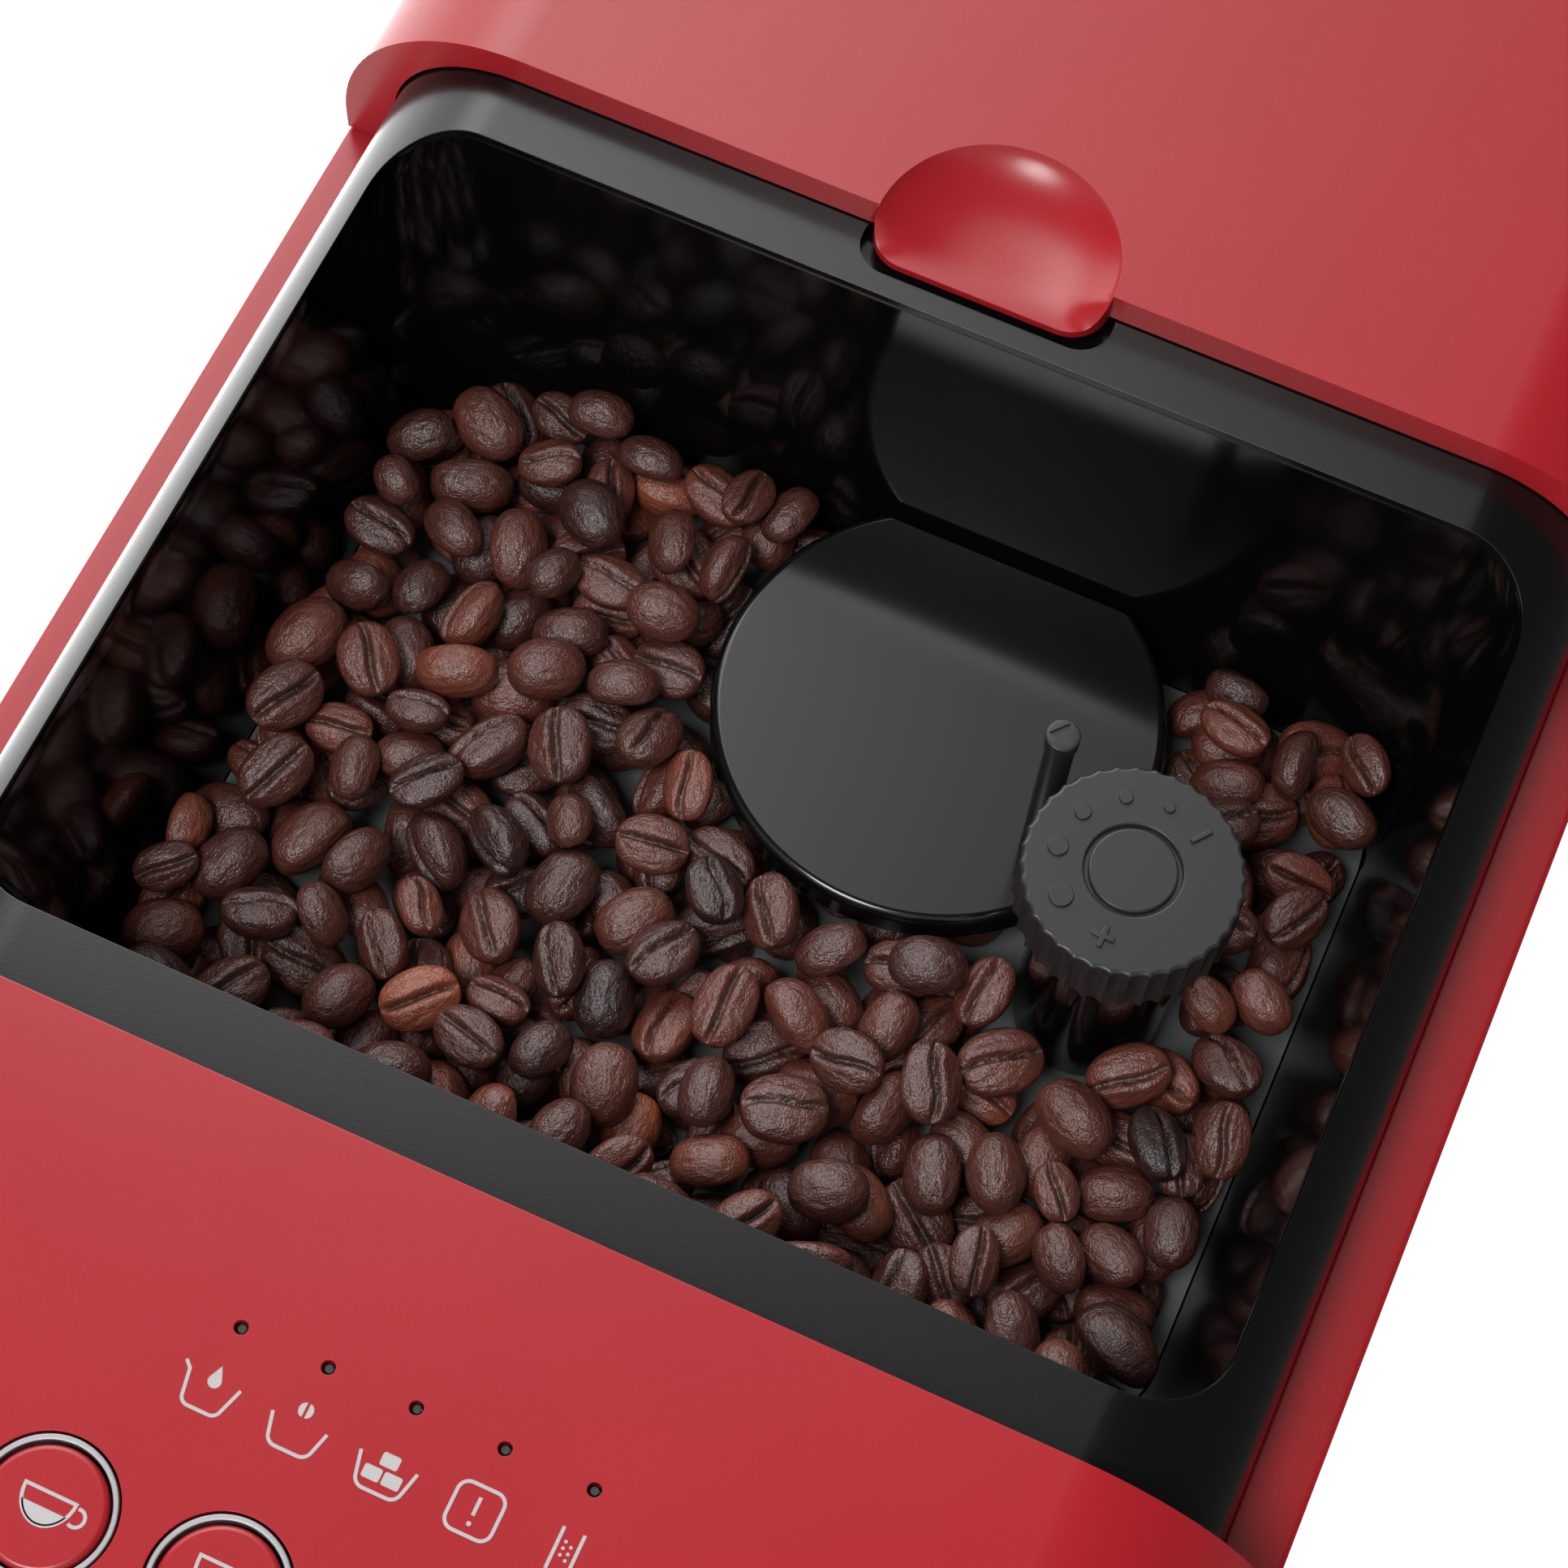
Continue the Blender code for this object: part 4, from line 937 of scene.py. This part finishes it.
def join_pieces(first, others):
    """Put several meshes in one piece without a boolean."""
    shape = bmesh.new()
    for piece in (first, *others):
        shape.from_mesh(piece.data)
    shape.to_mesh(first.data)
    shape.free()
    for piece in others:
        bpy.data.objects.remove(piece)
    return first


join_pieces(knob, marks)
finish_piece(smooth(knob, 50.0), knob_grey, "grind_knob")
print(len(marks), "raised marks")

# %% Stem and pointer post
stem_low, stem_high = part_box("knob_pedestal")
stem_r = (stem_high.x - stem_low.x) / 2
stem_profile = [(3.3 * mm, stem_high.z), (stem_r - 0.5 * mm, stem_high.z)]
stem_profile += fillet(stem_r - 0.5 * mm, stem_high.z, stem_r, stem_high.z - 0.5 * mm)
stem_profile += [(stem_r, stem_low.z), (3.3 * mm, stem_low.z), (3.3 * mm, stem_high.z)]
stem = spin("knob_stem", stem_profile, (knob_x, knob_y), 96)
finish_piece(smooth(stem), gloss_black, "knob_pedestal")

post_low, post_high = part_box("pointer_post")
post_x, post_y = (post_low.x + post_high.x) / 2, (post_low.y + post_high.y) / 2
post_r = (post_high.x - post_low.x) / 2
post_profile = [(0.0, post_high.z)]
post_profile += fillet(post_r - 0.25 * mm, post_high.z, post_r, post_high.z - 0.25 * mm, steps=4)
post_profile += [(post_r, post_high.z - 2.2 * mm), (post_r - 0.25 * mm, post_high.z - 2.6 * mm),
                 (post_r - 0.25 * mm, post_low.z), (0.0, post_low.z)]
post = spin("pointer", post_profile, (post_x, post_y), 48)
arrow_turn = math.atan2(knob_y - post_y, knob_x - post_x)
ARROW_R = 1.75 * mm
ARROW_SINK = 0.32 * mm
turns = [arrow_turn + turn for turn in (0.0, 2.2, -2.2)]
arrow = [(math.cos(turn) * ARROW_R + post_x, math.sin(turn) * ARROW_R + post_y) for turn in turns]
carve(post, "DIFFERENCE", prism("arrow", arrow, "Z", post_high.z - ARROW_SINK, post_high.z + mm))
finish_piece(smooth(post), knob_grey, "pointer_post")
print("stem", round(stem_r / mm, 1), "mm and post", round(post_r / mm, 1), "mm in radius")

# %% [markdown]
# ## Buttons and printed signs
#
# Each button is a red cap in a narrow metal ring, almost flush with the cover.  The signs are
# printed, so they are thin raised strips of grey ink: a line of ink is an outline traced at
# half its width to either side of a path.  The signs are plain pictures of what a button or a
# light means: a tank, a bean bin, a puck bin, a fault, and scale.

# %% Buttons and rings
BUTTON_R = 6.6 * mm
for name, ring_name, p in zip(button_names, ring_names, button_places):
    low, high = (corner.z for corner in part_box(name))
    cap = [(0.0, high), (BUTTON_R * 0.5, high)]
    cap += fillet(BUTTON_R - 0.7 * mm, high, BUTTON_R, high - 0.7 * mm, steps=6)
    cap += [(BUTTON_R, low), (0.0, low)]
    finish_piece(smooth(spin(name + "_cap", cap, (p.x, p.y), 96)), red_cap, name)
    ring_low, ring_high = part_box(ring_name)
    inner = BUTTON_R + 0.3 * mm
    soft = 0.15 * mm
    brim = ring_high.z
    band = [(inner, brim - 0.3 * mm)]
    band += fillet(inner + 0.02 * mm, brim - soft, inner + soft, brim, outward=False, steps=3)
    band += fillet(ring_outer - soft, brim, ring_outer, brim - soft, steps=3)
    band += [(ring_outer, ring_low.z), (inner, ring_low.z), (inner, brim - 0.3 * mm)]
    finish_piece(smooth(spin(ring_name + "_band", band, (p.x, p.y), 96)), ring_metal, ring_name)
print("four buttons in four rings")

# %% Ink
INK_RISE = 0.035 * mm
INK_HALF = 0.19 * mm


def ink_line(points, half=INK_HALF, closed=False):
    """A strip of ink of even width along a path in the plane."""
    path = [Vector(point) for point in points]
    count = len(path)
    left, right = [], []
    for i, here in enumerate(path):
        before = path[(i - 1) % count] if closed or i else here
        after = path[(i + 1) % count] if closed or i < count - 1 else here
        arrive = (here - before).normalized() if here != before else (after - here).normalized()
        leave = (after - here).normalized() if here != after else arrive
        normal = Vector((-arrive.y - leave.y, arrive.x + leave.x)).normalized()
        reach = half / max(0.5, normal.dot(Vector((-arrive.y, arrive.x))))
        left.append(here + normal * reach)
        right.append(here - normal * reach)
    if closed:
        return ink_band(left, right)
    return prism("ink", [tuple(v) for v in left + right[::-1]], "Z", 0.0, INK_RISE)


def ink_band(outer, inner):
    """The closed strip between two loops."""
    shape = bmesh.new()
    loops = [[shape.verts.new((p.x, p.y, z)) for p in loop]
             for loop, z in ((outer, 0.0), (outer, INK_RISE), (inner, INK_RISE), (inner, 0.0))]
    for first, second in zip(loops, loops[1:] + loops[:1]):
        for i in range(len(first)):
            j = (i + 1) % len(first)
            shape.faces.new((first[i], first[j], second[j], second[i]))
    return blank("ink", shape)


def ink_patch(points):
    return prism("ink", points, "Z", 0.0, INK_RISE)


def arc(x, y, radius, start, end, steps=14, squash=1.0):
    """Points on an arc, angles in degrees."""
    turns = [math.radians(start + (end - start) * k / steps) for k in range(steps + 1)]
    return [(x + radius * math.cos(t), y + radius * squash * math.sin(t)) for t in turns]


def bin_path(half_top, half_low, high, low, radius):
    """An open container: down the left side, across the bottom, up the right side."""
    shape = rounded([(-half_top, high, 0), (-half_low, low, radius), (half_low, low, radius),
                     (half_top, high, 0)], 6)
    return shape


def scaled(points, unit=mm):
    return [(u * unit, v * unit) for u, v in points]


def sign(name, strokes, x, y, height, body):
    """Join the strokes of one sign and print it at its place."""
    joined = join_pieces(strokes[0], strokes[1:])
    joined.name = name
    joined.data.transform(Matrix.Translation((x, y, height)))
    return add_detail(joined, ink_grey, body)


def drop_points():
    return scaled([(0.2, 2.6)] + arc(0.2, 0.85, 0.74, 32, -212, 16))


def tank_sign():
    path = [(-3.5, 1.75), (-2.75, 1.05)] + bin_path(2.75, 2.05, 1.05, -2.5, 1.0)[1:-1] + [(3.1, 1.05)]
    return [ink_line(scaled(path)), ink_patch(drop_points())]


def bean_sign():
    bowl = [(-3.1, 0.7)] + bin_path(2.9, 2.3, 0.7, -2.5, 1.2)[1:-1] + [(3.1, 0.7)]
    halves = [ink_patch(scaled(arc(side * 0.16, 2.05, 0.66, 90, 90 + side * -180, 12, 1.2)))
              for side in (-1, 1)]
    return [ink_line(scaled(bowl)), *halves]


def puck_sign():
    bowl = [(-3.2, 0.9)] + bin_path(3.0, 2.4, 0.9, -2.6, 1.2)[1:-1] + [(3.2, 0.9)]
    block = window_outline(1.0, -0.72, 0.72, 0.25, 4)
    places = ((-1.12, -0.85), (1.12, -0.85), (0.1, 0.95))
    blocks = [[(x + u, y + v) for u, v in block] for x, y in places]
    return [ink_line(scaled(bowl)), *[ink_patch(scaled(block)) for block in blocks]]


def fault_sign():
    frame_path = rounded([(-2.6, -2.6, 1.2), (2.6, -2.6, 1.2), (2.6, 2.6, 1.2), (-2.6, 2.6, 1.2)], 6)
    return [ink_line(scaled(frame_path), closed=True), ink_line(scaled([(0, 1.5), (0, -0.5)]), 0.20 * mm),
            ink_patch(scaled(arc(0, -1.4, 0.26, 0, 340, 12)))]


def scale_sign():
    """A pipe with grains in it: two lines, and dots in staggered rows."""
    strokes = [ink_line(scaled([(side * 1.15, 2.4), (side * 1.15, -2.2)])) for side in (-1, 1)]
    dots = [(-0.36 + 0.72 * (k % 2), 1.05 - 0.36 * k) for k in range(6)]
    return strokes + [ink_patch(scaled(arc(x, y, 0.19, 0, 330, 8))) for x, y in dots]


sign_drop = 7.0 * mm
for maker, p in zip((tank_sign, bean_sign, puck_sign, fault_sign, scale_sign), lens_places):
    sign(maker.__name__, maker(), p.x, p.y - sign_drop, top + 0.001 * mm, body_of["control_cover"])
print("five signs under the lights")

# %% Signs on the buttons
def cup_sign(half, high, low, fill):
    """A cup seen from the side, filled to a share of its height, with its handle."""
    shape = [(-half, high), *arc(0, high, half, 190, 350, 18, (high - low) / half), (half, high)]
    level = low + (high - low) * fill
    part = [(x, y) for x, y in shape if y <= level]
    handle = arc(half + 0.55, high - 1.2, 0.95, 100, -120, 12)
    return [ink_line(scaled(shape), closed=True), ink_patch(scaled(part)), ink_line(scaled(handle))]


def steam_sign():
    wave = [(0.45 * math.sin(v * 1.6), v) for v in np.linspace(-2.4, 2.4, 15)]
    return [ink_line(scaled([(x + u, v) for u, v in wave])) for x in (-1.7, 0.0, 1.7)]


def power_sign():
    return [ink_line(scaled(arc(0, 0, 2.3, 125, 415, 28))), ink_line(scaled([(0, 3.0), (0, 0.4)]))]


button_signs = [cup_sign(2.9, 1.6, -1.8, 0.55), cup_sign(3.1, 2.4, -2.4, 0.8), steam_sign(), power_sign()]
for i, (strokes, p, name) in enumerate(zip(button_signs, button_places, button_names)):
    sign(f"button_sign_{i + 1}", strokes, p.x, p.y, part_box(name)[1].z + 0.001 * mm, body_of[name])
print("four signs on the buttons")

# %% [markdown]
# ## Coffee beans
#
# A bean is an ellipsoid that is flat on one side, with a seam pressed into the flat side.  The
# mesh is one sheet of latitude rings from tip to tip, and its meridians crowd together at the
# seam so that the seam stays crisp.  The bean's surface is also pushed in and out by a sum of
# slow waves, different for every bean, so that no two are alike.

# %% One bean
BEAN_RINGS = 26
BEAN_SIDES = 38
bean_rng = np.random.default_rng(71)


def bean_angles():
    """Angles round the bean, crowded towards the seam at the bottom."""
    even = np.linspace(-np.pi, np.pi, BEAN_SIDES, endpoint=False)
    return even - 0.62 * np.sin(even) - np.pi / 2


def bean_points(length, width, thick, bend, seam_depth):
    """The bean's points and crease values, tip to tip along x, seam side down."""
    along = np.linspace(0.0, np.pi, BEAN_RINGS + 2)[1:-1]
    around = bean_angles()
    t, a = np.meshgrid(along, around, indexing="ij")
    x = -0.5 * length * np.cos(t)
    full = np.sin(t) ** 0.82
    y = 0.5 * width * full * np.cos(a)
    z = np.where(np.sin(a) > 0, 0.66, 0.34) * thick * full * np.sin(a)
    seam_y = bend * np.sin(x / length * 2 * np.pi)
    near = np.exp(-((y - seam_y) / (0.055 * width)) ** 2)
    lips = np.exp(-((np.abs(y - seam_y) - 0.13 * width) / (0.09 * width)) ** 2)
    under = np.where(np.sin(a) < 0.0, 1.0, 0.0)
    crease = near * under * np.clip(full * 1.6 - 0.35, 0, 1)
    z = z + under * (crease * seam_depth - lips * full * 0.16 * seam_depth)
    waves = np.zeros_like(x)
    for wave in range(9):
        k = bean_rng.normal(0, 1, 3) * (300 + 190 * wave) * np.array([0.6, 1.0, 1.0])
        waves += np.sin(k[0] * x + k[1] * y + k[2] * z + bean_rng.uniform(0, 6.3)) / (1.2 + 0.7 * wave)
    swell = 1.0 + 0.026 * waves
    body = np.stack([x, y * swell, z * swell], axis=-1).reshape(-1, 3)
    tips = np.array([[-0.5 * length, 0, 0], [0.5 * length, 0, 0]])
    return np.vstack([body, tips]), np.append(crease.ravel(), (0.0, 0.0))


def bean_faces():
    """Faces shared by every bean: quads between rings and a fan at each tip."""
    faces = []
    for ring in range(BEAN_RINGS - 1):
        for side in range(BEAN_SIDES):
            nxt = (side + 1) % BEAN_SIDES
            faces.append((ring * BEAN_SIDES + side, ring * BEAN_SIDES + nxt,
                          (ring + 1) * BEAN_SIDES + nxt, (ring + 1) * BEAN_SIDES + side))
    first, last = BEAN_RINGS * BEAN_SIDES, BEAN_RINGS * BEAN_SIDES + 1
    end = (BEAN_RINGS - 1) * BEAN_SIDES
    for side in range(BEAN_SIDES):
        nxt = (side + 1) % BEAN_SIDES
        faces.append((first, nxt, side))
        faces.append((last, end + side, end + nxt))
    return faces


BEAN_FACES = bean_faces()
print("a bean has", BEAN_RINGS * BEAN_SIDES + 2, "points and", len(BEAN_FACES), "faces")

# %% [markdown]
# ## The heap
#
# Beans that are only scattered would cut through one another.  Here each bean is dropped: a
# height map of the hopper remembers how high the heap is at every half millimetre, the bean
# comes down until some part of it touches, and of many tries the lowest resting place wins.
# Then the map is raised by the bean's own upper side.  The first layer also goes under the
# grinder's disc, and the rest piles up around it.  It is a simulation of the one thing that
# matters, that nothing overlaps, and it takes seconds and gives the same heap each time.

# %% Height map of the hopper
CELL = 0.5 * mm
bed_low, bed_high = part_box("bean_bed")
plate_top = plate_high.z
columns = int((bed_high.x - bed_low.x) / CELL)
lines = int((bed_high.y - bed_low.y) / CELL)
cell_x = bed_low.x + (np.arange(columns) + 0.5) * CELL
cell_y = bed_low.y + (np.arange(lines) + 0.5) * CELL
grid_x, grid_y = np.meshgrid(cell_x, cell_y, indexing="ij")
heap = np.full(grid_x.shape, plate_top)
BLOCKED = 1.0


def block(mask):
    """Close some cells of the map to beans."""
    heap[mask] = BLOCKED


def block_round(x, y, radius):
    block(np.hypot(grid_x - x, grid_y - y) < radius)


wall_inset = TAPER * (hopper_high.z - (bed_high.z - 6 * mm)) / (hopper_high.z - floor_level) + 0.3 * mm
inner_half = OPEN_HALF - wall_inset
inner_front, inner_back = open_front + wall_inset, open_back - wall_inset
corner = OPEN_R + 3 * mm
beyond_x = np.abs(grid_x) - (inner_half - corner)
beyond_y = np.maximum(inner_front + corner - grid_y, grid_y - (inner_back - corner))
block((np.abs(grid_x) > inner_half) | (grid_y < inner_front) | (grid_y > inner_back))
block((beyond_x > 0) & (beyond_y > 0) & (np.hypot(beyond_x, beyond_y) > corner))
block_round(throat_x, throat_y, NECK_R + 0.5 * mm)
block_round(knob_x, knob_y, stem_r + 0.4 * mm)
print("height map", heap.shape, "free", round(float((heap < BLOCKED).mean()), 2))

# %% Drop the beans
random.seed(12)
HEAP_TOP = min(bed_high.z + 6.0 * mm, skirt - 0.6 * mm)


def random_pose():
    """Most beans lie on their round or their flat side, some stand on an edge."""
    choice = random.random()
    flip = math.pi if choice < 0.42 else 0.0
    roll = random.gauss(0, 0.42) if choice < 0.86 else random.gauss(math.pi / 2, 0.4)
    pitch = random.gauss(0, 0.20)
    return Euler((flip + roll, pitch, random.uniform(0, 2 * math.pi)))


def footprint(points):
    """Cells under a bean's points, with the lowest and highest point in each."""
    i = np.floor(points[:, 0] / CELL).astype(int)
    j = np.floor(points[:, 1] / CELL).astype(int)
    i0, j0 = i.min(), j.min()
    shape = (i.max() - i0 + 1, j.max() - j0 + 1)
    lowest, highest = np.full(shape, np.inf), np.full(shape, -np.inf)
    np.minimum.at(lowest, (i - i0, j - j0), points[:, 2])
    np.maximum.at(highest, (i - i0, j - j0), points[:, 2])
    return lowest, highest, i0, j0


def resting_height(lowest, col, line):
    """How high the bean's centre ends up when it comes down over these cells."""
    ground = heap[col:col + lowest.shape[0], line:line + lowest.shape[1]]
    covered = np.isfinite(lowest)
    return float((ground - lowest)[covered].max())


def drop_bean(points, tries, ceiling):
    """Find the lowest of several resting places; raise the heap there."""
    lowest, highest, i0, j0 = footprint(points)
    best = None
    for _ in range(tries):
        col = random.randrange(0, columns - lowest.shape[0])
        line = random.randrange(0, lines - lowest.shape[1])
        height = resting_height(lowest, col, line)
        if best is None or height < best[0]:
            best = (height, col, line)
    height, col, line = best
    if height > BLOCKED / 2 or height + highest[np.isfinite(highest)].max() > ceiling:
        return None
    patch = heap[col:col + lowest.shape[0], line:line + lowest.shape[1]]
    filled = np.isfinite(highest)
    patch[filled] = np.maximum(patch[filled], highest[filled] + height)
    shift = Vector((bed_low.x + (col - i0) * CELL, bed_low.y + (line - j0) * CELL, height + 0.02 * mm))
    return points + np.array(shift)


# %% Pour them in
beans = []
BEAN_TRIES = 90
BEAN_LONG = 9.9 * mm
BEAN_WIDE = 7.7 * mm
BEAN_THICK = 5.6 * mm


def pour(ceiling, patience):
    """Drop beans until too many of them have found no place below the ceiling."""
    misses = 0
    while misses < patience:
        size = random.gauss(1.0, 0.085)
        width = BEAN_WIDE * size * random.uniform(0.92, 1.06)
        thick = BEAN_THICK * size * random.uniform(0.9, 1.12)
        bend = random.uniform(-0.5, 0.5) * mm
        seam_depth = random.uniform(0.9, 1.5) * mm
        local, crease_values = bean_points(BEAN_LONG * size, width, thick, bend, seam_depth)
        turn = np.array(random_pose().to_matrix())
        placed = drop_bean(local @ turn.T, BEAN_TRIES, ceiling)
        if placed is None:
            misses += 1
            continue
        shade = min(1.0, max(0.0, random.gauss(0.46, 0.17) + (0.25 if random.random() < 0.10 else 0.0)))
        beans.append((placed, local, crease_values, shade))


pour(disc_under - 0.3 * mm, 90)
block_round(throat_x, throat_y, CAP_R + 0.5 * mm)
pour(HEAP_TOP, 300)
summit = float(heap[heap < BLOCKED].max())
print(len(beans), "beans in the hopper, top of the heap at z =", round(summit / mm, 1))

# %% Beans as pieces
BEANS_EACH = 95


def bean_piece(name, group):
    """One mesh for a group of beans, with their roast, crease and own coordinates stored on it."""
    count = len(group[0][0])
    one = np.array([corner for face in BEAN_FACES for corner in face])
    faces = np.concatenate([one + count * k for k in range(len(group))])
    sizes = np.tile([len(face) for face in BEAN_FACES], len(group))
    mesh = bpy.data.meshes.new(name)
    mesh.vertices.add(count * len(group))
    mesh.vertices.foreach_set("co", np.vstack([bean[0] for bean in group]).astype(np.float32).ravel())
    mesh.loops.add(len(faces))
    mesh.loops.foreach_set("vertex_index", faces.astype(np.int32))
    mesh.polygons.add(len(sizes))
    starts = np.concatenate([[0], np.cumsum(sizes)[:-1]])
    mesh.polygons.foreach_set("loop_start", starts.astype(np.int32))
    mesh.update(calc_edges=True)
    mesh.validate()
    store(mesh, "roast", "FLOAT", np.concatenate([np.full(count, bean[3]) for bean in group]))
    store(mesh, "crease", "FLOAT", np.concatenate([bean[2] for bean in group]))
    own = np.vstack([bean[1] + 0.05 * k for k, bean in enumerate(group)])
    store(mesh, "own_place", "FLOAT_VECTOR", own.ravel())
    mesh.shade_smooth()
    piece = bpy.data.objects.new(name, mesh)
    scene.collection.objects.link(piece)
    return piece


def store(mesh, name, kind, values):
    attribute = mesh.attributes.new(name, kind, "POINT")
    attribute.data.foreach_set("vector" if kind == "FLOAT_VECTOR" else "value", values.astype(np.float32))


for number, start in enumerate(range(0, len(beans), BEANS_EACH)):
    piece = bean_piece(f"beans_{number + 1}", beans[start:start + BEANS_EACH])
    finish_piece(piece, bean_skin, "bean_bed")
print("bean pieces:", number + 1)

# %% [markdown]
# ## The rest of the casing
#
# The flat panels, the tray, the spout and the works inside have the right shape already.  Each
# is copied from its CAD node, its flat faces are made whole again, and its edges are rounded a
# little, because the edge is where a plain block gives itself away.

# %% Softened copies
def softened(node, paint, width):
    """A copy of a CAD piece with small rounded edges."""
    shape = bmesh.new()
    shape.from_mesh(frame["nodes"][node].data)
    bmesh.ops.remove_doubles(shape, verts=shape.verts, dist=0.005 * mm)
    bmesh.ops.dissolve_limit(shape, angle_limit=math.radians(0.5), verts=shape.verts, edges=shape.edges)
    copy = round_edges(blank(node + "_shell", shape), width, 2, sharp=35.0)
    return finish_piece(copy, paint, node)


soft_plan = {
    red_skin: (("left_side_panel", 0.7), ("right_side_panel", 0.7), ("front_fascia", 0.3),
               ("tank_lid", 0.5), ("service_door", 0.2)),
    casing_black: (("head_underside", 0.4), ("back_panel", 0.5), ("drip_tray", 0.4),
                   ("base_plate", 0.6), ("grounds_container", 0.4), ("rear_base", 0.5),
                   ("mains_inlet", 0.3), ("power_switch", 0.3)),
    gloss_black: (("niche_panel", 0.4), ("spout_housing", 0.8)),
    works_grey: (("grinder_housing", 0.4), ("brew_unit", 0.4)),
    steel: (("drip_grate", 0.4), ("thermoblock", 0.4)),
    tank_smoke: (("water_tank", 0.6),),
}
for paint, plan in soft_plan.items():
    for node, width in plan:
        softened(node, paint, width * mm)
print("softened copies:", sum(len(plan) for plan in soft_plan.values()))

# %% Finishes on CAD nodes that keep their shape
kept_plan = {
    red_cap: ("float_indicator",),
    steel: ("nozzle_left", "nozzle_right", "spout_rail", "upper_burr", "lower_burr", "grinder_motor",
            "water_pump", "door_hinge_pin", "tank_valve"),
    works_grey: ("grind_chute",),
    foot_rubber: ("foot_front_left", "foot_front_right", "foot_rear_left", "foot_rear_right"),
    board_green: ("control_board",),
    pale_plate: ("hopper_floor",),
    lens_smoke: lens_names,
}
for paint, nodes in kept_plan.items():
    for node in nodes:
        for holder in frame["nodes"][node].material_slots:
            holder.material = paint.material
print("kept nodes:", sum(len(nodes) for nodes in kept_plan.values()))

# %% [markdown]
# ## The last update
#
# The last cell brings the scene up to date.

# %% Finish
bpy.context.view_layer.update()
